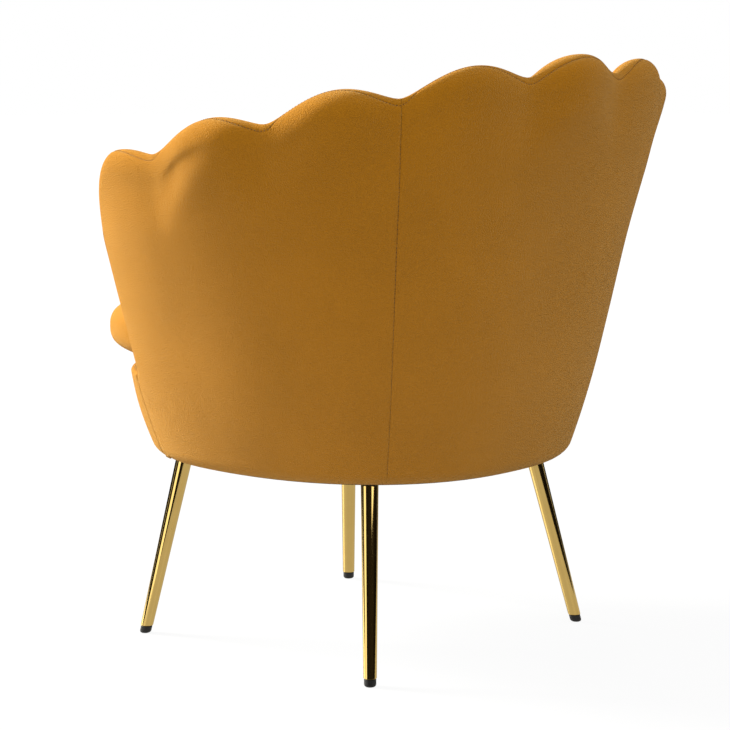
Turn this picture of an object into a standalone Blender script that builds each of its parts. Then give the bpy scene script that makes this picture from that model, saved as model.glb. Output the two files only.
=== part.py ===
"""Scalloped tub armchair: a shell of nine channel pads on a round seat frame with four metal legs.

The tub is drawn in polar form. An angle runs from the middle of the back towards the sitter's
left hand, and a depth is measured inwards from the outer face of the covers at that angle and
height, so pieces that lie against each other share one curve and differ only by their depths.
"""
import math

import bmesh
import bpy
from mathutils import Matrix, Vector

# Heights above the floor
BODY_BOTTOM = 0.255
SEAT_DECK = 0.375
RIM_HEIGHT = 0.776
RIM_FALL = 0.097
SCALLOP = 0.024

# Outer face of the tub: half sizes at its bottom, and those it flares to at its top
HALF_WIDTH = 0.275
HALF_BACK = 0.302
HALF_FRONT = 0.272
TOP_HALF_WIDTH = 0.413
TOP_HALF_BACK = 0.379
TOP_HALF_FRONT = 0.296
FLARE_HEIGHT = 0.52
BASE_SQUARENESS = 2.24
RIM_SQUARENESS = 2.64
BASE_TUCK = 0.010
BASE_TUCK_HEIGHT = 0.147

# Lobes, as angles in degrees: half of the centre lobe, then the width of each one beyond it
CENTRE_LOBE_HALF = 14.0
INNER_LOBE = 27.0
OUTER_LOBE = 23.0
SIDE_LOBE = 26.0
ARM_LOBE = 32.0
ARM_ANGLE = 119.0
ARM_CORNER_LENGTH = 0.098
ARM_CORNER_SHARE = 0.48

# How far each lobe stands out of the plain flare below its rim
CENTRE_BULGE = 0.023
INNER_BULGE = 0.004
OUTER_BULGE = 0.010
SIDE_BULGE = 0.014
ARM_BULGE = 0.005
BULGE_HEIGHT = 0.17

# Layers of the shell
GAP = 0.0003
COVER = 0.0035
SHELL_BOARD = 0.008
VALLEY_PAD = 0.010
CROWN_PAD = 0.038
PAD_FULLNESS = 0.75
PAD_TAPER = 0.90
ROLL_HEIGHT = 0.034
ROLL_INSIDE = 0.042
SEAM_LAP = 0.008
BOTTOM_ROUND = 0.016
COVER_TURN_IN = 0.008
FACING_WIDTH = 0.024
FACING_PAD = 0.0118
FACING_TURN = 80.0
CROWN_SHARE = 1.0 / 3.0

# Seat frame and suspension
RAIL = 0.030
BLOCK_LENGTH = 0.070
BLOCK_HALF_ANGLE = 14.0
DECK_PAD = 0.010
FACET_CLEARANCE = 0.0008
STRIP_WIDTH = 0.012
STRIP_THICK = 0.0015
STRIP_HALF_ANGLE = 38.0
SPRING_COUNT = 4
SPRING_SPACING = 0.090
SPRING_WIRE = 0.0038
SPRING_SWING = 0.022
SPRING_WAVES = 8
SPRING_WAVE_STEPS = 6
DUST_COVER = 0.001
DUST_COVER_LAP = 0.006

# Seat cushion
CUSHION_INSET = 0.013
CUSHION_OVERHANG = 0.058
CUSHION_SQUARENESS = 3.1
CUSHION_SIDE = 0.092
CUSHION_CROWN = 0.022
CUSHION_CLEARANCE = 0.006
CUSHION_UNDERCUT = 0.20
CUSHION_SHOULDER = 0.12
CUSHION_SOFTNESS = 0.70
CUSHION_EAR_START = 1.0
CUSHION_EAR_SPREAD = 2.0

# Legs
FRONT_LEG_ANGLE = 133.4
FRONT_LEG_INSET = 0.041
FRONT_SPLAY_SIDE = 0.045
FRONT_SPLAY_AHEAD = 0.040
BACK_LEG_ANGLE = 44.5
BACK_LEG_INSET = 0.044
BACK_SPLAY_SIDE = 0.051
BACK_SPLAY_BEHIND = 0.044
LEG_TOP_RADIUS = 0.0116
LEG_FOOT_RADIUS = 0.0087
LEG_WALL = 0.0015
TIP_RADIUS = 0.0079
TIP_HEIGHT = 0.010
TIP_STEM = 0.018
TIP_BEVEL = 0.001
PLATE_RADIUS = 0.024
PLATE_THICK = 0.0025
PLATE_CLEARANCE = 0.0005
BOLT_RADIUS = 0.0025
BOLT_HEAD_RADIUS = 0.0042
BOLT_HEAD_HEIGHT = 0.0018
BOLT_BEVEL = 0.0006
BOLT_LENGTH = 0.025
BOLT_CIRCLE = 0.0175
BOLTS_PER_LEG = 3
BOLT_CLEARANCE = 0.0003

# Facets
LOBE_STEPS = 6
FRONT_STEPS = 12
ROLL_STEPS = 8
ROUND_STEPS = 3
FACING_STEPS = 4
CUSHION_STEPS = 40
CUSHION_SIDE_STEPS = 8
CUSHION_TOP_STEPS = 3
LEG_STEPS = 20
SMALL_STEPS = 10
HALVINGS = 40

# Places that follow from the sizes above
BOARD_OUT = COVER + GAP
BOARD_IN = BOARD_OUT + SHELL_BOARD
PAD_BACK = BOARD_IN + GAP
RAIL_OUT = PAD_BACK
RAIL_IN = RAIL_OUT + RAIL
FRAME_BOTTOM = BODY_BOTTOM + COVER + GAP
RAIL_EASING = BOTTOM_ROUND + GAP - RAIL_OUT
DECK_BOTTOM = SEAT_DECK - DECK_PAD
SIDE_RAIL_TOP = DECK_BOTTOM - GAP
SPRING_HEIGHT = DECK_BOTTOM - GAP - SPRING_WIRE / 2
STRIP_BOTTOM = SPRING_HEIGHT - SPRING_WIRE / 2 - GAP - STRIP_THICK
END_RAIL_TOP = STRIP_BOTTOM - GAP
DUST_TOP = BODY_BOTTOM - GAP
PLATE_TOP = FRAME_BOTTOM - GAP
LEG_TOP = PLATE_TOP - PLATE_THICK - GAP
COVER_EDGE = BOTTOM_ROUND + COVER_TURN_IN
LOWER_ROWS = (BODY_BOTTOM + BOTTOM_ROUND, END_RAIL_TOP)
LOBE_EDGES = [CENTRE_LOBE_HALF]
for width in (INNER_LOBE, OUTER_LOBE, SIDE_LOBE, ARM_LOBE):
    LOBE_EDGES.append(LOBE_EDGES[-1] + width)
SEAM_ANGLE = LOBE_EDGES[1]
LOBE_BULGES = (INNER_BULGE, OUTER_BULGE, SIDE_BULGE, ARM_BULGE)
CUSHION_HALF_WIDTH = HALF_WIDTH - CUSHION_INSET
CUSHION_FRONT = HALF_FRONT + CUSHION_OVERHANG
UPPER_ROWS = (0.30, 0.60, 0.85, 1.0)
PAD_ROWS = (0.35, 0.70, 1.0)

VELVET = ("velvet", (0.60, 0.31, 0.05), 0.85, 0.0)
GOLD = ("brass_plated_steel", (0.83, 0.62, 0.26), 0.12, 1.0)
PLASTIC = ("black_plastic", (0.02, 0.02, 0.02), 0.45, 0.0)
STEEL = ("zinc_steel", (0.62, 0.62, 0.60), 0.35, 1.0)
PLYWOOD = ("plywood", (0.72, 0.56, 0.38), 0.70, 0.0)
TIMBER = ("pine", (0.76, 0.60, 0.40), 0.75, 0.0)
FELT = ("insulator_felt", (0.78, 0.77, 0.73), 0.95, 0.0)
LINING = ("black_lining", (0.03, 0.03, 0.03), 0.95, 0.0)


def clear_scene():
    """Empty the file, whatever it holds."""
    for obj in list(bpy.data.objects):
        bpy.data.objects.remove(obj, do_unlink=True)


def material(finish):
    """The Principled material of a (name, colour, roughness, metallic) finish, made once."""
    name, colour, roughness, metallic = finish
    made = bpy.data.materials.get(name)
    if made is None:
        made = bpy.data.materials.new(name)
        made.use_nodes = True
        shader = made.node_tree.nodes["Principled BSDF"]
        shader.inputs["Base Color"].default_value = (*colour, 1.0)
        shader.inputs["Roughness"].default_value = roughness
        shader.inputs["Metallic"].default_value = metallic
    return made


def new_object(name, mesh, finish, location=(0.0, 0.0, 0.0), turn=0.0):
    """Link an object that holds this mesh, placed and turned about the vertical."""
    obj = bpy.data.objects.new(name, mesh)
    obj.location = location
    obj.rotation_euler = (0.0, 0.0, turn)
    bpy.context.collection.objects.link(obj)
    if not mesh.materials:
        mesh.materials.append(material(finish))
    return obj


def mesh_from(name, bm, smooth_angle=35.0):
    """A finished mesh from bm: faces out, round faces smooth."""
    bmesh.ops.recalc_face_normals(bm, faces=bm.faces)
    mesh = bpy.data.meshes.new(name)
    bm.to_mesh(mesh)
    bm.free()
    mesh.shade_smooth()
    mesh.set_sharp_from_angle(angle=math.radians(smooth_angle))
    return mesh


def smoothstep(value):
    """0 below 0, 1 above 1, and an even curve between."""
    value = min(max(value, 0.0), 1.0)
    return value * value * (3.0 - 2.0 * value)


# The tub's curves

def plan_radius(angle, height):
    """Distance from the tub's axis to the outer face of the covers, without the lobes' bulge."""
    rise = height - BODY_BOTTOM
    tuck = BASE_TUCK * max(0.0, 1.0 - rise / BASE_TUCK_HEIGHT) ** 2
    flare = rise / FLARE_HEIGHT
    side = HALF_WIDTH + (TOP_HALF_WIDTH - HALF_WIDTH) * flare - tuck
    turn = math.radians(angle)
    if math.cos(turn) > 0.0:
        depth = HALF_BACK + (TOP_HALF_BACK - HALF_BACK) * flare - tuck
    else:
        depth = HALF_FRONT + (TOP_HALF_FRONT - HALF_FRONT) * flare - tuck
    power = BASE_SQUARENESS + (RIM_SQUARENESS - BASE_SQUARENESS) * min(max(flare, 0.0), 1.0)
    across = (abs(math.sin(turn)) / side) ** power
    along = (abs(math.cos(turn)) / depth) ** power
    return (across + along) ** (-1.0 / power)


def lobe(angle):
    """0 in the valleys between lobes and 1 on their crowns."""
    angle = abs(angle)
    if angle <= CENTRE_LOBE_HALF:
        return math.cos(math.radians(90.0 * angle / CENTRE_LOBE_HALF))
    for low, high in zip(LOBE_EDGES, LOBE_EDGES[1:]):
        if angle <= high:
            return math.sin(math.pi * (angle - low) / (high - low))
    return 0.0


def plain_rim(angle):
    """Height of the rim without its scallops: highest in the middle of the back."""
    return RIM_HEIGHT - RIM_FALL * (1.0 - math.cos(math.radians(angle)))


def arm_arc():
    """How many degrees one metre along the arm's rim is."""
    return math.degrees(1.0 / plan_radius(ARM_ANGLE, RIM_HEIGHT - RIM_FALL))


def rim(angle):
    """Height of the rim's top, with its scallops and the rounded front corner of each arm."""
    drop = ARM_CORNER_SHARE * (plain_rim(ARM_ANGLE) - SEAT_DECK)
    corner_start = ARM_ANGLE - ARM_CORNER_LENGTH * arm_arc()
    past = min(max((abs(angle) - corner_start) / (ARM_ANGLE - corner_start), 0.0), 1.0)
    return plain_rim(angle) + SCALLOP * lobe(angle) - drop * (1.0 - math.sqrt(1.0 - past * past))


def seam(angle):
    """Height of the seam where the outer covers end and the channels' rolled tops begin."""
    return rim(angle) - ROLL_HEIGHT


def lobe_bulge(angle):
    """How far the crown of the lobe at this angle stands out."""
    for high, size in zip(LOBE_EDGES[1:], LOBE_BULGES):
        if LOBE_EDGES[0] < abs(angle) <= high:
            return size
    return CENTRE_BULGE


def bulge(angle, height):
    """How far a lobe stands out of the plain flare."""
    share = (height - seam(angle) + BULGE_HEIGHT) / BULGE_HEIGHT
    return lobe_bulge(angle) * lobe(angle) * smoothstep(share)


def pad_face(angle):
    """Depth of the channel pads' inner face: thin in a valley, full on a crown."""
    return PAD_BACK + VALLEY_PAD + (CROWN_PAD - VALLEY_PAD) * lobe(angle) ** PAD_FULLNESS


def rows(angle):
    """Heights of the shared rows of facets, from the deck to the seam."""
    top = seam(angle)
    return [SEAT_DECK + (top - SEAT_DECK) * share for share in UPPER_ROWS]


FACING_START = ARM_ANGLE - FACING_WIDTH * arm_arc()
BACK_REACH = max(plan_radius(0.0, height) + bulge(0.0, height) for height in rows(0.0))
AXIS_Y = (CUSHION_FRONT - BACK_REACH) / 2.0


def facing_angles():
    """Angles of the facing's columns, and how much of its thickness is left at each."""
    last = math.radians(FACING_TURN)
    found = []
    for step in range(FACING_STEPS + 1):
        turn = last * step / FACING_STEPS
        share = math.sin(turn) / math.sin(last)
        found.append((FACING_START + (ARM_ANGLE - FACING_START) * share, math.cos(turn)))
    return found


def grid():
    """The angles at which every piece of the tub has its facets, from one side to the other."""
    half = [CENTRE_LOBE_HALF * step * 2.0 / LOBE_STEPS for step in range(LOBE_STEPS // 2)]
    edges = LOBE_EDGES[:-1] + [FACING_START]
    for low, high in zip(edges, edges[1:]):
        half += [low + (high - low) * step / LOBE_STEPS for step in range(LOBE_STEPS)]
    half += [angle for angle, _ in facing_angles()]
    front = (180.0 - ARM_ANGLE) * 2.0 / FRONT_STEPS
    half += [ARM_ANGLE + front * step for step in range(1, FRONT_STEPS // 2 + 1)]
    return sorted([-angle for angle in half[1:-1]] + half)


GRID = grid()
TURN_ROUND = 360.0


def span(start, end):
    """The grid's angles from start to end, which may pass the front, each end drawn back by half a gap."""
    back = math.degrees(GAP / plan_radius(start, SEAT_DECK))
    every = sorted(GRID + [angle + TURN_ROUND for angle in GRID])
    inside = [angle for angle in every if start + back < angle < end - back]
    return [start + back / 2.0, *inside, end - back / 2.0]


def place(angle, depth, height):
    """The point at this angle and height, this deep inside the covers' plain outer face."""
    radius = plan_radius(angle, height) - depth
    turn = math.radians(angle)
    return Vector((radius * math.sin(turn), AXIS_Y + radius * math.cos(turn), height))


def height_then_reach(vertex):
    """What puts corners in order: height first, and on a level face the distance from the axis."""
    return round(vertex.co.z, 6), math.hypot(vertex.co.x, vertex.co.y - AXIS_Y)


def split_evenly(bm, ring_of):
    """Cut each side face from the low corner of one ring to the high corner of the next.

    Faces that lie against each other are then cut along the same line, and keep their gap.
    """
    for face in [face for face in bm.faces if len(face.verts) == 4]:
        first = min(ring_of[vertex] for vertex in face.verts)
        near = [vertex for vertex in face.verts if ring_of[vertex] == first]
        far = [vertex for vertex in face.verts if ring_of[vertex] != first]
        if len(near) != 2:
            continue
        low = min(near, key=height_then_reach)
        high = max(far, key=height_then_reach)
        if bm.edges.get((low, high)) is None:
            bmesh.utils.face_split(face, low, high)


def stack(name, rings, finish):
    """A solid pushed out from its first ring of points through the others, closed at both ends."""
    bm = bmesh.new()
    face = bm.faces.new([bm.verts.new(point) for point in rings[0]])
    ring_of = {vertex: 0 for vertex in face.verts}
    for index, ring in enumerate(rings[1:]):
        pushed = bmesh.ops.extrude_face_region(bm, geom=[face])["geom"]
        if index > 0:
            bmesh.ops.delete(bm, geom=[face], context="FACES_ONLY")
        face = next(item for item in pushed if isinstance(item, bmesh.types.BMFace))
        for vertex, point in zip(face.verts, ring):
            vertex.co = point
            ring_of[vertex] = index + 1
    split_evenly(bm, ring_of)
    return new_object(name, mesh_from(name, bm), finish)


def loft(name, angles, profile, finish):
    """A solid swept round the tub: profile(angle) is its closed outline, as (depth, height) points."""
    rings = [[place(angle, *point) for point in profile(angle)] for angle in angles]
    return stack(name, rings, finish)


def turned(name, profile, steps):
    """The mesh of a piece turned about the vertical, from (radius, height) points."""
    bm = bmesh.new()
    corners = [bm.verts.new((radius, 0.0, height)) for radius, height in profile]
    edges = [bm.edges.new(pair) for pair in zip(corners, corners[1:])]
    if profile[0][0] > 0.0:
        edges.append(bm.edges.new((corners[-1], corners[0])))
    bmesh.ops.spin(
        bm, geom=corners + edges, cent=(0, 0, 0), axis=(0, 0, 1),
        angle=math.tau, steps=steps, use_merge=True,
    )
    bmesh.ops.remove_doubles(bm, verts=bm.verts, dist=1e-6)
    return mesh_from(name, bm)


def cut(obj, cutter):
    """Take the cutter's shape out of obj."""
    cutter.hide_render = True
    cutter.display_type = "WIRE"
    modifier = obj.modifiers.new(f"cut_{cutter.name}", "BOOLEAN")
    modifier.operation = "DIFFERENCE"
    modifier.solver = "EXACT"
    modifier.object = cutter


# Covers, boards and pads

def cover_profile(angle, inner, top, rounded_top):
    """Outline of a cover from its turned-in edge, up the outside and down the inside."""
    heights = [*LOWER_ROWS, *top]
    outside = [(COVER_EDGE, BODY_BOTTOM)]
    inside = [(COVER_EDGE, BODY_BOTTOM + COVER)]
    inner_round = BOTTOM_ROUND - COVER
    for step in range(ROUND_STEPS):
        turn = math.radians(90.0 * step / ROUND_STEPS)
        drop = BOTTOM_ROUND * (1.0 - math.cos(turn))
        outside.append((BOTTOM_ROUND * (1.0 - math.sin(turn)), BODY_BOTTOM + drop))
        drop = COVER + inner_round * (1.0 - math.cos(turn))
        inside.append((COVER + inner_round * (1.0 - math.sin(turn)), BODY_BOTTOM + drop))
    for height in heights:
        outside.append((-bulge(angle, height), height))
        inside.append((COVER, height))
    if inner > COVER:
        inside = [(COVER_EDGE, FRAME_BOTTOM - GAP), (inner, FRAME_BOTTOM - GAP)]
        inside += [(inner, height) for height in heights]
    crown = [(inner / 2.0, top[-1] + inner * CROWN_SHARE)] if rounded_top else []
    return outside + crown + inside[::-1]


def make_outer_covers():
    """The back cover and the two side covers, that meet in two upright seams."""
    def profile(angle):
        heights = [SEAT_DECK, *rows(angle)]
        heights[-1] -= GAP
        return cover_profile(angle, COVER, heights, False)

    loft("back_cover", span(-SEAM_ANGLE, SEAM_ANGLE), profile, VELVET)
    loft("side_cover_left", span(SEAM_ANGLE, FACING_START), profile, VELVET)
    loft("side_cover_right", span(-FACING_START, -SEAM_ANGLE), profile, VELVET)


def make_front_cover():
    """The padded cover of the front rail, from arm to arm."""
    round_top = FACING_PAD * CROWN_SHARE

    def profile(angle):
        return cover_profile(angle, FACING_PAD, [SEAT_DECK - round_top], True)

    loft("front_rail_cover", span(ARM_ANGLE, TURN_ROUND - ARM_ANGLE), profile, VELVET)


def make_shell_boards():
    """Three bent plywood boards with the scalloped top edge, behind the pads."""
    def profile(angle):
        lower = [LOWER_ROWS[0] + GAP, LOWER_ROWS[1], SEAT_DECK]
        heights = [*lower, *rows(angle), seam(angle) + SEAM_LAP]
        outside = [(BOARD_OUT, height) for height in heights]
        return outside + [(BOARD_IN, height) for height in heights[::-1]]

    loft("back_shell_board", span(-SEAM_ANGLE, SEAM_ANGLE), profile, PLYWOOD)
    loft("side_shell_board_left", span(SEAM_ANGLE, FACING_START), profile, PLYWOOD)
    loft("side_shell_board_right", span(-FACING_START, -SEAM_ANGLE), profile, PLYWOOD)


def roll(angle, outer, inner):
    """The rolled top from the seam outside, over the rim, to the channel's face inside."""
    middle = (outer + inner) / 2.0
    half = (inner - outer) / 2.0
    start = seam(angle)
    found = []
    for step in range(ROLL_STEPS + 1):
        turn = math.pi * step / ROLL_STEPS
        fall = ROLL_INSIDE if step > ROLL_STEPS / 2 else ROLL_HEIGHT
        base = start + ROLL_HEIGHT - fall
        found.append((middle - half * math.cos(turn), base + fall * math.sin(turn)))
    return found


def channel_profile(angle):
    """Outline of a channel pad, folded over the shell board's top edge."""
    face = pad_face(angle)
    board_top = seam(angle) + SEAM_LAP + GAP
    points = roll(angle, -bulge(angle, seam(angle)), face)
    low = SEAT_DECK + GAP
    inner_top = points[-1][1]
    for share in PAD_ROWS:
        thick = PAD_BACK + (face - PAD_BACK) * (1.0 - (1.0 - PAD_TAPER) * share)
        points.append((thick, inner_top + (low - inner_top) * share))
    points.append((PAD_BACK, low))
    points += [(PAD_BACK, height) for height in rows(angle)]
    points += [(PAD_BACK, board_top), (BOARD_OUT - GAP, board_top)]
    points.append((BOARD_OUT - GAP, seam(angle)))
    return points


def make_channel_pads():
    """Nine padded channels, the petals of the shell."""
    edges = LOBE_EDGES[:-1] + [FACING_START]
    loft("channel_pad_centre", span(-edges[0], edges[0]), channel_profile, VELVET)
    for place_name, low, high in zip(("inner_back", "outer_back", "side", "arm"), edges, edges[1:]):
        loft(f"channel_pad_{place_name}_left", span(low, high), channel_profile, VELVET)
        loft(f"channel_pad_{place_name}_right", span(-high, -low), channel_profile, VELVET)


def make_arm_facings():
    """The padded fronts of the arms, that close the shell boards' front edges."""
    face = pad_face(FACING_START)
    left_over = {round(angle, 6): share for angle, share in facing_angles()}

    def profile(angle):
        nearest = min(left_over, key=lambda known: abs(known - abs(angle)))
        share = left_over[nearest]
        flare = -bulge(angle, seam(angle))
        middle = (flare + face) / 2.0
        half = (face - flare) / 2.0 * share
        low_middle = FACING_PAD / 2.0
        low_half = low_middle * share
        under = BODY_BOTTOM + COVER
        points = [(low_middle - low_half / 2.0, under)]
        points += [(low_middle - low_half, height) for height in (*LOWER_ROWS, SEAT_DECK)]
        for height in rows(angle)[:-1]:
            points.append((middle - half - flare - bulge(angle, height), height))
        points += roll(angle, middle - half, middle + half)
        low = SEAT_DECK + GAP
        top = points[-1][1]
        for part in PAD_ROWS:
            points.append((middle + half, top + (low - top) * part))
        points += [(low_middle + low_half, z) for z in (low, *LOWER_ROWS[::-1], under)]
        return points

    loft("arm_facing_left", span(FACING_START, ARM_ANGLE), profile, VELVET)
    loft("arm_facing_right", span(-ARM_ANGLE, -FACING_START), profile, VELVET)


# Seat frame and suspension

def bar(name, angles, outer, inner, low, high, finish, easing=0.0):
    """A bar bent along the tub, between two depths and two heights, its lower outer edge eased."""
    middle = [row for row in LOWER_ROWS if low + easing < row < high]
    outside = [(outer, height) for height in (low + easing, *middle, high)]
    if easing > 0.0:
        outside.insert(0, (outer + easing, low))
    inside = [(inner, height) for height in (high, *middle[::-1], low)]

    def profile(_angle):
        return outside + inside

    return loft(name, angles, profile, finish)


def rail_corner():
    """Angle of the joint between a side rail and the back rail: at the facets' edge nearest the back leg."""
    return min(GRID, key=lambda angle: abs(angle - BACK_LEG_ANGLE))


def make_rails():
    """Four bent rails that stand in a ring inside the shell boards."""
    corner = rail_corner()
    ends = (RAIL_OUT, RAIL_IN, FRAME_BOTTOM, END_RAIL_TOP, TIMBER, RAIL_EASING)
    sides = (RAIL_OUT, RAIL_IN, FRAME_BOTTOM, SIDE_RAIL_TOP, TIMBER, RAIL_EASING)
    bar("back_rail", span(-corner, corner), *ends)
    bar("front_rail", span(FACING_START, TURN_ROUND - FACING_START), *ends)
    bar("side_rail_left", span(corner, FACING_START), *sides)
    bar("side_rail_right", span(-FACING_START, -corner), *sides)


def across(offset, depth, height, front):
    """Where a front-to-back line at this x offset meets the ring of this depth."""
    low, high = (90.0, 180.0) if front else (0.0, 90.0)
    for _ in range(HALVINGS):
        middle = (low + high) / 2.0
        reach = abs(place(middle, depth, height).x)
        if (reach > offset) == front:
            low = middle
        else:
            high = middle
    return place((low + high) / 2.0, depth, height).y


def make_suspension():
    """Sinuous springs from rail to rail, the strips that hold their ends, and the insulator."""
    strip_middle = RAIL_OUT + RAIL / 2.0
    strip = (strip_middle - STRIP_WIDTH / 2.0, strip_middle + STRIP_WIDTH / 2.0,
             STRIP_BOTTOM, STRIP_BOTTOM + STRIP_THICK, STEEL)
    bar("spring_clip_strip_back", span(-STRIP_HALF_ANGLE, STRIP_HALF_ANGLE), *strip)
    low = TURN_ROUND / 2.0 - STRIP_HALF_ANGLE
    bar("spring_clip_strip_front", span(low, TURN_ROUND - low), *strip)
    for index in range(SPRING_COUNT):
        offset = SPRING_SPACING * (index - (SPRING_COUNT - 1) / 2.0)
        make_spring(f"sinuous_spring_{index + 1}", offset, strip_middle)
    deck_depth = PAD_BACK + FACET_CLEARANCE
    rings = []
    for height in (DECK_BOTTOM, SEAT_DECK):
        rings.append([place(angle, deck_depth, height) for angle in GRID])
    stack("insulator_pad", rings, FELT)


def make_spring(name, offset, depth):
    """One sinuous spring: a wire that swings from side to side between the two end rails."""
    front = across(abs(offset), depth, SPRING_HEIGHT, True)
    back = across(abs(offset), depth, SPRING_HEIGHT, False)
    curve = bpy.data.curves.new(name, "CURVE")
    curve.dimensions = "3D"
    curve.bevel_depth = SPRING_WIRE / 2.0
    curve.bevel_resolution = 0
    curve.use_fill_caps = True
    steps = SPRING_WAVES * SPRING_WAVE_STEPS
    spline = curve.splines.new("POLY")
    spline.points.add(steps)
    for index, point in enumerate(spline.points):
        share = index / steps
        swing = SPRING_SWING * math.sin(math.tau * SPRING_WAVES * share)
        point.co = (offset + swing, front + (back - front) * share, SPRING_HEIGHT, 1.0)
    obj = bpy.data.objects.new(name, curve)
    curve.materials.append(material(STEEL))
    bpy.context.collection.objects.link(obj)


# Legs

def leg_places():
    """Name, place of the top centre, direction of the splay and its width, for each leg."""
    front = ("front", FRONT_LEG_ANGLE, FRONT_LEG_INSET, FRONT_SPLAY_SIDE, -FRONT_SPLAY_AHEAD)
    back = ("back", BACK_LEG_ANGLE, BACK_LEG_INSET, BACK_SPLAY_SIDE, BACK_SPLAY_BEHIND)
    found = []
    for end, angle, inset, splay_side, splay_back in (front, back):
        for side, sign in (("left", 1.0), ("right", -1.0)):
            top = place(sign * angle, inset, BODY_BOTTOM)
            turn = math.atan2(splay_back, sign * splay_side)
            found.append((f"{end}_{side}", top.x, top.y, turn, math.hypot(splay_side, splay_back)))
    return found


def lean(mesh, splay):
    """Lean an upright piece outwards along +X by the splay, its ends kept level."""
    slope = splay / LEG_TOP
    stretch = math.hypot(1.0, slope)
    matrix = Matrix(((stretch, 0.0, -slope, slope * LEG_TOP), (0.0, 1.0, 0.0, 0.0),
                     (0.0, 0.0, 1.0, 0.0), (0.0, 0.0, 0.0, 1.0)))
    mesh.transform(matrix)
    return mesh


def make_legs():
    """Tapered tubes with a plug in each foot."""
    foot = TIP_HEIGHT + GAP
    slant = (LEG_TOP_RADIUS - LEG_FOOT_RADIUS) / (LEG_TOP - foot)
    bore = LEG_FOOT_RADIUS - LEG_WALL
    tube = [
        (LEG_FOOT_RADIUS, foot), (bore, foot),
        (LEG_TOP_RADIUS - LEG_WALL, LEG_TOP), (LEG_TOP_RADIUS, LEG_TOP),
    ]
    stem = bore - GAP
    stem_top = TIP_HEIGHT + TIP_STEM
    tip = [
        (0.0, 0.0), (TIP_RADIUS - TIP_BEVEL, 0.0), (TIP_RADIUS, TIP_BEVEL), (TIP_RADIUS, TIP_HEIGHT),
        (stem, TIP_HEIGHT), (stem, stem_top - TIP_BEVEL),
        (stem - TIP_BEVEL + slant * TIP_BEVEL, stem_top), (0.0, stem_top),
    ]
    for name, x, y, turn, splay in leg_places():
        leg = lean(turned("leg", tube, LEG_STEPS), splay)
        new_object(f"leg_{name}", leg, GOLD, (x, y, 0.0), turn)
        plug = lean(turned("foot_tip", tip, SMALL_STEPS), splay)
        new_object(f"foot_tip_{name}", plug, PLASTIC, (x, y, 0.0), turn)


def bolt_places(x, y):
    """Where the bolts of one leg stand: one in the block on its inner side, the others in the rails."""
    inward = math.atan2(AXIS_Y - y, -x)
    found = []
    for index in range(BOLTS_PER_LEG):
        angle = inward + math.tau * index / BOLTS_PER_LEG
        found.append((x + BOLT_CIRCLE * math.cos(angle), y + BOLT_CIRCLE * math.sin(angle)))
    return found


def bolt_cutter(name, places, low, high):
    """One helper that holds an upright cylinder for each bolt, wide enough to clear it."""
    bm = bmesh.new()
    for x, y in places:
        middle = Matrix.Translation((x, y, (low + high) / 2.0))
        bmesh.ops.create_cone(
            bm, cap_ends=True, segments=SMALL_STEPS, radius1=BOLT_RADIUS + BOLT_CLEARANCE,
            radius2=BOLT_RADIUS + BOLT_CLEARANCE, depth=high - low, matrix=middle,
        )
    return new_object(name, mesh_from(name, bm), STEEL)


def make_plates_and_bolts():
    """The plate on each leg's top, let into the covers' edge, and the bolts that hold it to the frame."""
    plate_bottom = PLATE_TOP - PLATE_THICK
    head = plate_bottom - GAP
    top = head + BOLT_LENGTH
    under = head - BOLT_HEAD_HEIGHT
    bolt = turned("leg_bolt", [
        (0.0, under), (BOLT_HEAD_RADIUS - BOLT_BEVEL, under),
        (BOLT_HEAD_RADIUS, under + BOLT_BEVEL), (BOLT_HEAD_RADIUS, head),
        (BOLT_RADIUS, head), (BOLT_RADIUS, top), (0.0, top),
    ], SMALL_STEPS)
    disc = turned("leg_plate", [
        (0.0, plate_bottom), (PLATE_RADIUS, plate_bottom), (PLATE_RADIUS, PLATE_TOP), (0.0, PLATE_TOP),
    ], LEG_STEPS)
    cutters = {}
    for name, x, y, _turn, _splay in leg_places():
        places = bolt_places(x, y)
        cutter = bolt_cutter(f"bolt_holes_{name}", places, head - BOLT_LENGTH, top + GAP)
        plate = new_object(f"leg_plate_{name}", disc, GOLD, (x, y, 0.0))
        cut(plate, cutter)
        for index, (bolt_x, bolt_y) in enumerate(places):
            new_object(f"leg_bolt_{name}_{index + 1}", bolt, STEEL, (bolt_x, bolt_y, 0.0))
        cutters[name] = cutter
    return cutters


def make_corner_blocks(cutters):
    """Blocks in the frame's corners, over the legs, that tie the rails and take a bolt of each leg."""
    for name, x, y, _turn, _splay in leg_places():
        end, side = name.split("_")
        cut(bpy.data.objects[f"{end}_rail"], cutters[name])
        cut(bpy.data.objects[f"side_rail_{side}"], cutters[name])
        towards = math.degrees(math.atan2(x, y - AXIS_Y))
        low = towards - BLOCK_HALF_ANGLE
        high = towards + BLOCK_HALF_ANGLE
        inside = [angle for angle in GRID if low <= angle <= high]
        inner = RAIL_IN + FACET_CLEARANCE
        block = bar(f"corner_block_{name}", inside, inner, inner + BLOCK_LENGTH,
                    FRAME_BOTTOM, LOWER_ROWS[1], TIMBER)
        cut(block, cutters[name])


def make_dust_cover():
    """The thin lining over the underside, laid on the covers' turned-in edges."""
    depth = COVER_EDGE - DUST_COVER_LAP
    rings = []
    for height in (DUST_TOP - DUST_COVER, DUST_TOP):
        rings.append([place(angle, depth, BODY_BOTTOM) for angle in GRID])
        for point in rings[-1]:
            point.z = height
    stack("dust_cover", rings, LINING)


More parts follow.
